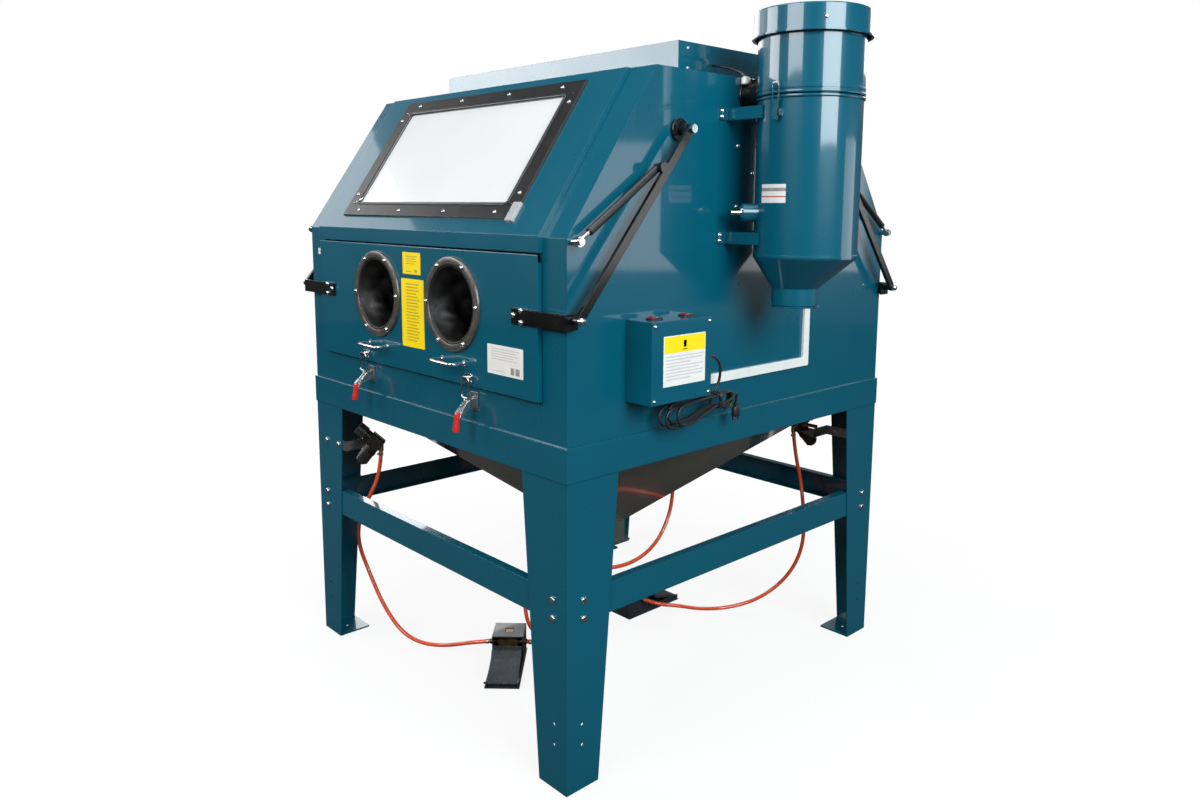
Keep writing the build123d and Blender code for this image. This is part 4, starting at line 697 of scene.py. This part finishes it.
def latches(end):
    """Zinc levers with a dipped red grip and a hooked claw over the catch loop."""
    for side, x in (("left", -250), ("right", 250)):
        node = f"latch_{side}_{end}"
        copy_of(node, f"{node}_lever", f"{node}_body", [ZINC, RED], lambda px, py, pz: int(pz < 858))
        grip = Shape()
        top, foot = Vector((x, -690.5, 861)), Vector((x, -698, 813))
        along = (foot - top).normalized()
        loops = []
        for share, grow in ((0, 0.72), (0.03, 0.92), (0.1, 1), (0.35, 0.94), (0.65, 0.98), (0.9, 1.04),
                            (0.97, 0.9), (1, 0.6)):
            loops.append(grip_section(top.lerp(foot, share), along, 8 * grow, 6.2 * grow))
        grip.rings(loops)
        grip.make(f"{node}_grip", f"{node}_body", [RED], "red_grip", end)
        link = Shape()
        claw = ((-652, 889), (-663, 889), (-684, 866), (-690, 850), (-684, 848), (-664, 868), (-652, 874))
        for dx in (-8.2, 8.2):
            link.slab([(x + dx - 1.1, y, z) for y, z in claw], (2.2, 0, 0), soft=0.5)
        link.lathe((x - 10.5, -684, 858), RIGHTWARD, [(2.6, 0), (3.4, 0.8), (3.4, 20.2), (2.6, 21)], parts=16)
        link.make(f"{node}_plates", f"{node}_body", [ZINC], "steel", end)


def on_slope(u, v, height):
    """Point on the front slope: u across, v up from the fold, height off it."""
    c, s = math.cos(SLOPE), math.sin(SLOPE)
    return (u, FOLD_Y + v * s - height * c, FOLD_Z + v * c + height * s)


def window_details(end):
    normal, uphill = (0, -math.cos(SLOPE), math.sin(SLOPE)), Vector((0, math.sin(SLOPE), math.cos(SLOPE)))
    heads, lip = Shape(), Shape()
    places = [(u, v) for u in (-322, -107, 107, 322) for v in (427 - 7, 52)]
    places += [(side * 378, v) for side in (-1, 1) for v in (370, 106)]
    for u, v in places:
        screw(heads, on_slope(u, v, 20), normal, 5, 3.4)
    for side in (-1, 1):
        for v in (80, 392):
            lean = 1 if v > 200 else -1
            heads.tube([on_slope(side * 344, v - lean * 14, 18.5), on_slope(side * 350, v - lean * 4, 21.5),
                        on_slope(side * 362, v + lean * 3, 21.5), on_slope(side * 376, v + lean * 6, 20.6)],
                       1, parts=8)
    heads.make(f"window_screws_{end}", "frame", [CHROME], "steel", end)
    (left, low, wide, tall), loops = (-352, 74, 704, 324), []
    for inset, height in ((3, 20), (0.5, 21.2), (-3.5, 21.2), (-5.5, 19.2), (-5.5, 11)):
        corner = Vector(on_slope(left - inset, low - inset, height))
        size = (wide + 2 * inset, tall + 2 * inset, 12 + inset)
        loops.append(rounded_outline(corner, RIGHTWARD, uphill, *size, 6))
    lip.rings(loops, caps=False)
    made = lip.make(f"window_gasket_{end}", "frame", [SEAL], "black_paint", end, sharp=50)
    wall = made.modifiers.new("wall", "SOLIDIFY")
    wall.thickness, wall.offset = 0.001, 0
    if end == "front":
        clip = Shape()
        start = Vector(on_slope(377, 28, 14))
        clip.slab(rounded_outline(start, RIGHTWARD, uphill, 27, 52, 2), Vector(normal) * 8.4, soft=1.2)
        clip.make("window_corner_clip", "frame", [CLIP], "white_paint")


def plate(name, body, corner, across, up, size, materials, blocks, slot, end="front", radius=2.0, thick=0.6):
    """Thin rounded plate with flat raised blocks: (left, low, right, high, material number)."""
    shape, across, up = Shape(), Vector(across).normalized(), Vector(up).normalized()
    out = across.cross(up)
    shape.slab(rounded_outline(corner, across, up, *size, radius), out * thick, soft=0.2)
    for left, low, right, high, kind in blocks:
        base = Vector(corner) + across * left + up * low + out * (thick - 0.02)
        shape.slab([base, base + across * (right - left), base + across * (right - left) + up * (high - low),
                    base + up * (high - low)], out * 0.12, kind)
    return shape.make(name, body, materials, slot, end)


def text_lines(left, right, low, high, pitch, kind, ragged=(0.0, 0.12, 0.05, 0.2, 0.08)):
    """Plain bars in place of printing."""
    bars, number, z = [], 0, high
    while z - pitch * 0.45 > low:
        short = (right - left) * ragged[number % len(ragged)]
        bars.append((left, z - pitch * 0.42, right - short, z, kind))
        number, z = number + 1, z - pitch
    return bars


def door_labels(end):
    body, face = f"door_{end}_body", DOOR_FACE
    blocks = text_lines(16, 70, 22, 48, 6.2, 1) + [(56, 5, 70, 13, 1), (16, 6, 44, 9, 1)]
    plate(f"upper_label_{end}", body, (-46, face, 1180), RIGHTWARD, UPWARD, (86, 57), [YELLOW, PRINT],
          blocks, "brass", end)
    plate(f"lower_label_{end}", body, (-55, face, 988), RIGHTWARD, UPWARD, (108, 180), [YELLOW, PRINT],
          text_lines(24, 86, 12, 168, 8.2, 1), "brass", end)
    blocks = text_lines(16, 122, 34, 62, 6, 1)
    blocks += [(90, 6, 103, 22, 2), (108, 6, 123, 22, 2), (16, 8, 70, 10, 1)]
    plate(f"white_label_{end}", body, (326, face, 967), RIGHTWARD, UPWARD, (136, 70),
          [LABEL_WHITE, LABEL_FAINT, LABEL_GREY], blocks, "white_paint", end)
    plate(f"corner_tag_{end}", "frame", (-556, -640, 1210), RIGHTWARD, UPWARD, (26, 18),
          [LABEL_WHITE, LABEL_GREY], [(4, 8, 22, 10, 1)], "white_paint", end)


def pedal_buttons():
    """Tan button that shows in the hole of each pedal hood."""
    shape = Shape()
    for pedal in (HEEL_FRONT, HEEL_REAR):
        square = ((-11, -11), (11, -11), (11, 11), (-11, 11))
        shape.slab([pedal_point(pedal, x, -194 + y, 79) for x, y in square], (0, 0, 3), soft=1)
    shape.make("pedal_buttons", "frame", [TAN], "brass")


pedal_buttons()
for end in ENDS:
    glove_pair(end)
    glove_rings(end)
    door_hardware(end)
    latches(end)
    window_details(end)
    door_labels(end)


# Right side: control box, collector details, panel screws


def control_details():
    """Switch bezels, cover screws, label and rocker marks."""
    bezels, heads = Shape(), Shape()
    for y in (-410, -300):
        loops = []
        for grow, z in ((1.6, 1103), (1.6, 1105.4), (0.6, 1106.8), (-3.4, 1106.8), (-3.9, 1104.6)):
            corner, size = (625 - grow, y - 17.5 - grow, z), (22 + 2 * grow, 35 + 2 * grow, 4.4 + grow)
            loops.append(rounded_outline(corner, RIGHTWARD, INWARD, *size, 6))
        bezels.rings(loops, caps=False)
    bezels.make("switch_bezels", "frame", [PLASTIC], "black_plastic")
    for y, z in ((-452, 1093), (-266, 1093), (-452, 922), (-266, 922)):
        screw(heads, (679, y, z), RIGHTWARD, 4.6, 3)
    heads.make("cover_screws", "frame", [CHROME], "steel")
    blocks = [(2, 77, 142, 115, 1), (64, 82, 80, 84, 2), (67, 88, 77, 104, 3)]
    blocks += text_lines(8, 138, 8, 70, 7.5, 2, (0.0, 0.04, 0.35, 0.02, 0.12))
    plate("cover_label", "frame", (679, -424, 951), INWARD, UPWARD, (144, 117),
          [LABEL_WHITE, YELLOW, LABEL_FAINT, PRINT], blocks, "white_paint", radius=1.5, thick=0.8)
    for number, y in ((1, -410), (2, -300)):
        mark = Shape()
        tilt = math.radians(-9)
        c, s = math.cos(tilt), math.sin(tilt)
        for u in (-7, 7):
            rise = 5 - abs(u - math.copysign(13, u)) * 3.5 / 13
            base = Vector((633, y + u * c - rise * s, 1104 + u * s + rise * c))
            slope = math.atan(3.5 / 13) * (1 if u > 0 else -1) + tilt
            run = Vector((0, math.cos(slope), math.sin(slope)))
            across = Vector((6, 0, 0))
            mark.slab([base - run * 0.8, base - run * 0.8 + across, base + run * 0.8 + across,
                       base + run * 0.8], Vector((0, -math.sin(slope), math.cos(slope))) * 0.25)
        mark.make(f"rocker_{number}_mark", f"rocker_{number}_body", [LABEL_WHITE], "white_paint")


def round_drum(angle, radius, z):
    """Point about the drum's axis."""
    a = math.radians(angle)
    return Vector((DRUM_X + radius * math.cos(a), radius * math.sin(a), z))


def drum_plate(name, start, stop, low, high, radius, materials, bands, slot):
    """Curved plate on the drum with horizontal bands: (share low, share high, material number)."""
    shape, steps = Shape(), 16
    cuts = sorted({0.0, 1.0, *[b for band in bands for b in band[:2]]})
    for below, above in zip(cuts, cuts[1:]):
        kind = next((k for a, b, k in bands if a <= (below + above) / 2 <= b), 0)
        z0, z1 = low + (high - low) * below, low + (high - low) * above
        inner = [round_drum(start + (stop - start) * s / steps, radius, z0) for s in range(steps + 1)]
        outer = [round_drum(start + (stop - start) * s / steps, radius + 0.7, z0) for s in range(steps + 1)]
        loop = inner + outer[::-1]
        shape.rings([loop, [p + Vector((0, 0, z1 - z0)) for p in loop]], kind)
    shape.make(name, "frame", materials, slot)


def collector_details():
    """Screws, the socket low on the drum, its label and the raised bands at the seam."""
    steel = Shape()
    lid_screws = Shape()
    for angle in (-43, 137):
        outward = round_drum(angle, 1, 0) - Vector((DRUM_X, 0, 0))
        screw(lid_screws, round_drum(angle, 139, 1785), outward, 5, 4)
    lid_screws.make("lid_screws", "lid_body", [CHROME], "steel")
    for low in (1267, 1569):
        for side in (-1, 1):
            for z in (low + 8, low + 22):
                screw(steel, (598, side * 139, z), RIGHTWARD, 5, 4, washer=6.6)
    out = round_drum(-128, 1, 0) - Vector((DRUM_X, 0, 0))
    base = round_drum(-128, DRUM_R + 36, 1345)
    steel.lathe(base, out, [(13, 0), (13, 3), (11, 4), (6, 4), (6, 26), (5, 27)], parts=28)
    for y, z in ((-74, 1509), (5, 1513), (-12, 1443), (-74, 1359)):
        screw(steel, (595, y, z), RIGHTWARD, 5.5, 4)
    for y in (-160, 160):
        for z in (1700, 1748):
            screw(steel, (500, y, z), RIGHTWARD, 4.5, 3)
            screw(steel, (-500, y, z), (-1, 0, 0), 4.5, 3)
    steel.make("collector_screws", "frame", [CHROME], "steel")
    drum_plate("collector_label", -112, -78, 1369, 1413, DRUM_R, [LABEL_WHITE, LABEL_GREY, LABEL_RED],
               [(0.62, 0.8, 1), (0.3, 0.36, 2)], "white_paint")
    band = Shape()
    bead = [(127.4, -3.5), (129.6, -2.4), (130, 0), (129.6, 2.4), (127.4, 3.5)]
    for z in (SEAM_Z - 5.5, SEAM_Z + 4.5):
        band.lathe((DRUM_X, 0, z), UPWARD, bead, parts=120, joined=True)
    band.make("collector_seam_band", "frame", [TEAL], "teal_paint")


def duct_fitting():
    """Cable gland beside the duct, with its cap and the thin lead to the lamp housing."""
    black, white = Shape(), Shape()
    black.lathe((596, -32, 1636), RIGHTWARD, [(43, -1), (43, 3), (41, 4.5), (36, 4.5)], parts=48, joined=True)
    lead = [(604, -60, 1676), (590, -64, 1690), (560, -66, 1702), (520, -66, 1712), (499, -66, 1716)]
    black.tube(lead, 2.6, parts=12)
    black.make("duct_flange", "frame", [BLACK], "black_paint")
    white.lathe((604, -60, 1660), UPWARD, [(9, 0), (11, 2), (11, 14), (9, 18), (4, 20)], parts=28)
    white.make("duct_cap", "frame", [WHITE], "white_paint")


control_details()
collector_details()
duct_fitting()


# Stage and light


def softbox(name, place, target, wide, high, watts, tint=(1, 1, 1)):
    """Area light that points at a target and stays out of the picture."""
    data = bpy.data.lights.new(name, "AREA")
    data.shape, data.size, data.size_y = "RECTANGLE", wide, high
    data.energy, data.color = watts, tint
    lamp = bpy.data.objects.new(name, data)
    bpy.context.scene.collection.objects.link(lamp)
    lamp.location = place
    lamp.rotation_euler = (Vector(target) - Vector(place)).to_track_quat("-Z", "Y").to_euler()
    lamp.visible_camera = False


def stage():
    """Round pale floor that fades to white with distance."""
    half, edge = 9.0, 64
    angles = [2 * math.pi * s / edge for s in range(edge)]
    ring = [Vector((half * math.cos(a), half * math.sin(a), -0.0006)) for a in angles]
    mesh = bpy.data.meshes.new("studio_floor")
    mesh.from_pydata(ring, [], [list(range(edge))])
    floor = bpy.data.objects.new("studio_floor", mesh)
    bpy.context.scene.collection.objects.link(floor)
    pale = bpy.data.materials.new("studio_floor")
    pale.use_nodes = True
    tree = pale.node_tree
    shader = tree.nodes["Principled BSDF"]
    shader.inputs["Roughness"].default_value = 0.9
    shader.inputs["Specular IOR Level"].default_value = 0.0
    path = tree.nodes.new("ShaderNodeLightPath")
    tone = tree.nodes.new("ShaderNodeMix")
    tone.data_type = "RGBA"
    tone.inputs["A"].default_value = (0.055, 0.052, 0.048, 1)
    tone.inputs["B"].default_value = (0.8, 0.8, 0.8, 1)
    tree.links.new(path.outputs["Is Camera Ray"], tone.inputs["Factor"])
    tree.links.new(tone.outputs["Result"], shader.inputs["Base Color"])
    glow = tree.nodes.new("ShaderNodeEmission")
    where, spread = tree.nodes.new("ShaderNodeTexCoord"), tree.nodes.new("ShaderNodeVectorMath")
    spread.operation = "LENGTH"
    tree.links.new(where.outputs["Object"], spread.inputs[0])
    share = tree.nodes.new("ShaderNodeMath")
    share.operation = "MULTIPLY"
    tree.links.new(path.outputs["Is Camera Ray"], share.inputs[0])
    tree.links.new(ranged(tree, spread.outputs["Value"], 0.86, 1.0, 0.9, 1.9), share.inputs[1])
    mix = tree.nodes.new("ShaderNodeMixShader")
    tree.links.new(share.outputs[0], mix.inputs["Fac"])
    tree.links.new(shader.outputs["BSDF"], mix.inputs[1])
    tree.links.new(glow.outputs["Emission"], mix.inputs[2])
    tree.links.new(mix.outputs["Shader"], tree.nodes["Material Output"].inputs["Surface"])
    mesh.materials.append(pale)


def studio():
    """Background, lights and view settings."""
    world = bpy.data.worlds.new("studio")
    bpy.context.scene.world = world
    world.use_nodes = True
    tree = world.node_tree
    seen, felt = tree.nodes["Background"], tree.nodes.new("ShaderNodeBackground")
    seen.inputs["Color"].default_value, seen.inputs["Strength"].default_value = (1, 1, 1, 1), 1.0
    felt.inputs["Color"].default_value, felt.inputs["Strength"].default_value = (0.95, 0.97, 1, 1), 0.07
    mix, path = tree.nodes.new("ShaderNodeMixShader"), tree.nodes.new("ShaderNodeLightPath")
    tree.links.new(path.outputs["Is Camera Ray"], mix.inputs["Fac"])
    tree.links.new(felt.outputs["Background"], mix.inputs[1])
    tree.links.new(seen.outputs["Background"], mix.inputs[2])
    tree.links.new(mix.outputs["Shader"], tree.nodes["World Output"].inputs["Surface"])
    middle = (0.0, 0.0, 1.1)
    softbox("key", (-2.8, -2.85, 2.35), (0.0, -0.2, 1.3), 2.1, 1.1, 58)
    softbox("glow", (-3.6, -1.0, 2.5), (0.0, -0.3, 1.3), 1.5, 1.3, 9)
    softbox("front", (0.6, -5.0, 3.5), middle, 3.0, 2.4, 175)
    softbox("top", (0.4, -0.6, 4.4), middle, 3.4, 2.4, 60)
    softbox("right", (4.6, -0.9, 3.0), middle, 3.0, 2.6, 270, (0.88, 0.97, 1))
    softbox("side", (3.4, 3.0, 1.35), (0.3, 0.2, 1.2), 2.6, 0.9, 15)
    softbox("left", (-4.4, 1.6, 2.6), middle, 3.4, 2.8, 95)
    softbox("rear", (-0.6, 5.0, 3.6), middle, 3.6, 2.6, 105)
    bpy.context.scene.view_settings.view_transform = "Standard"


stage()
studio()
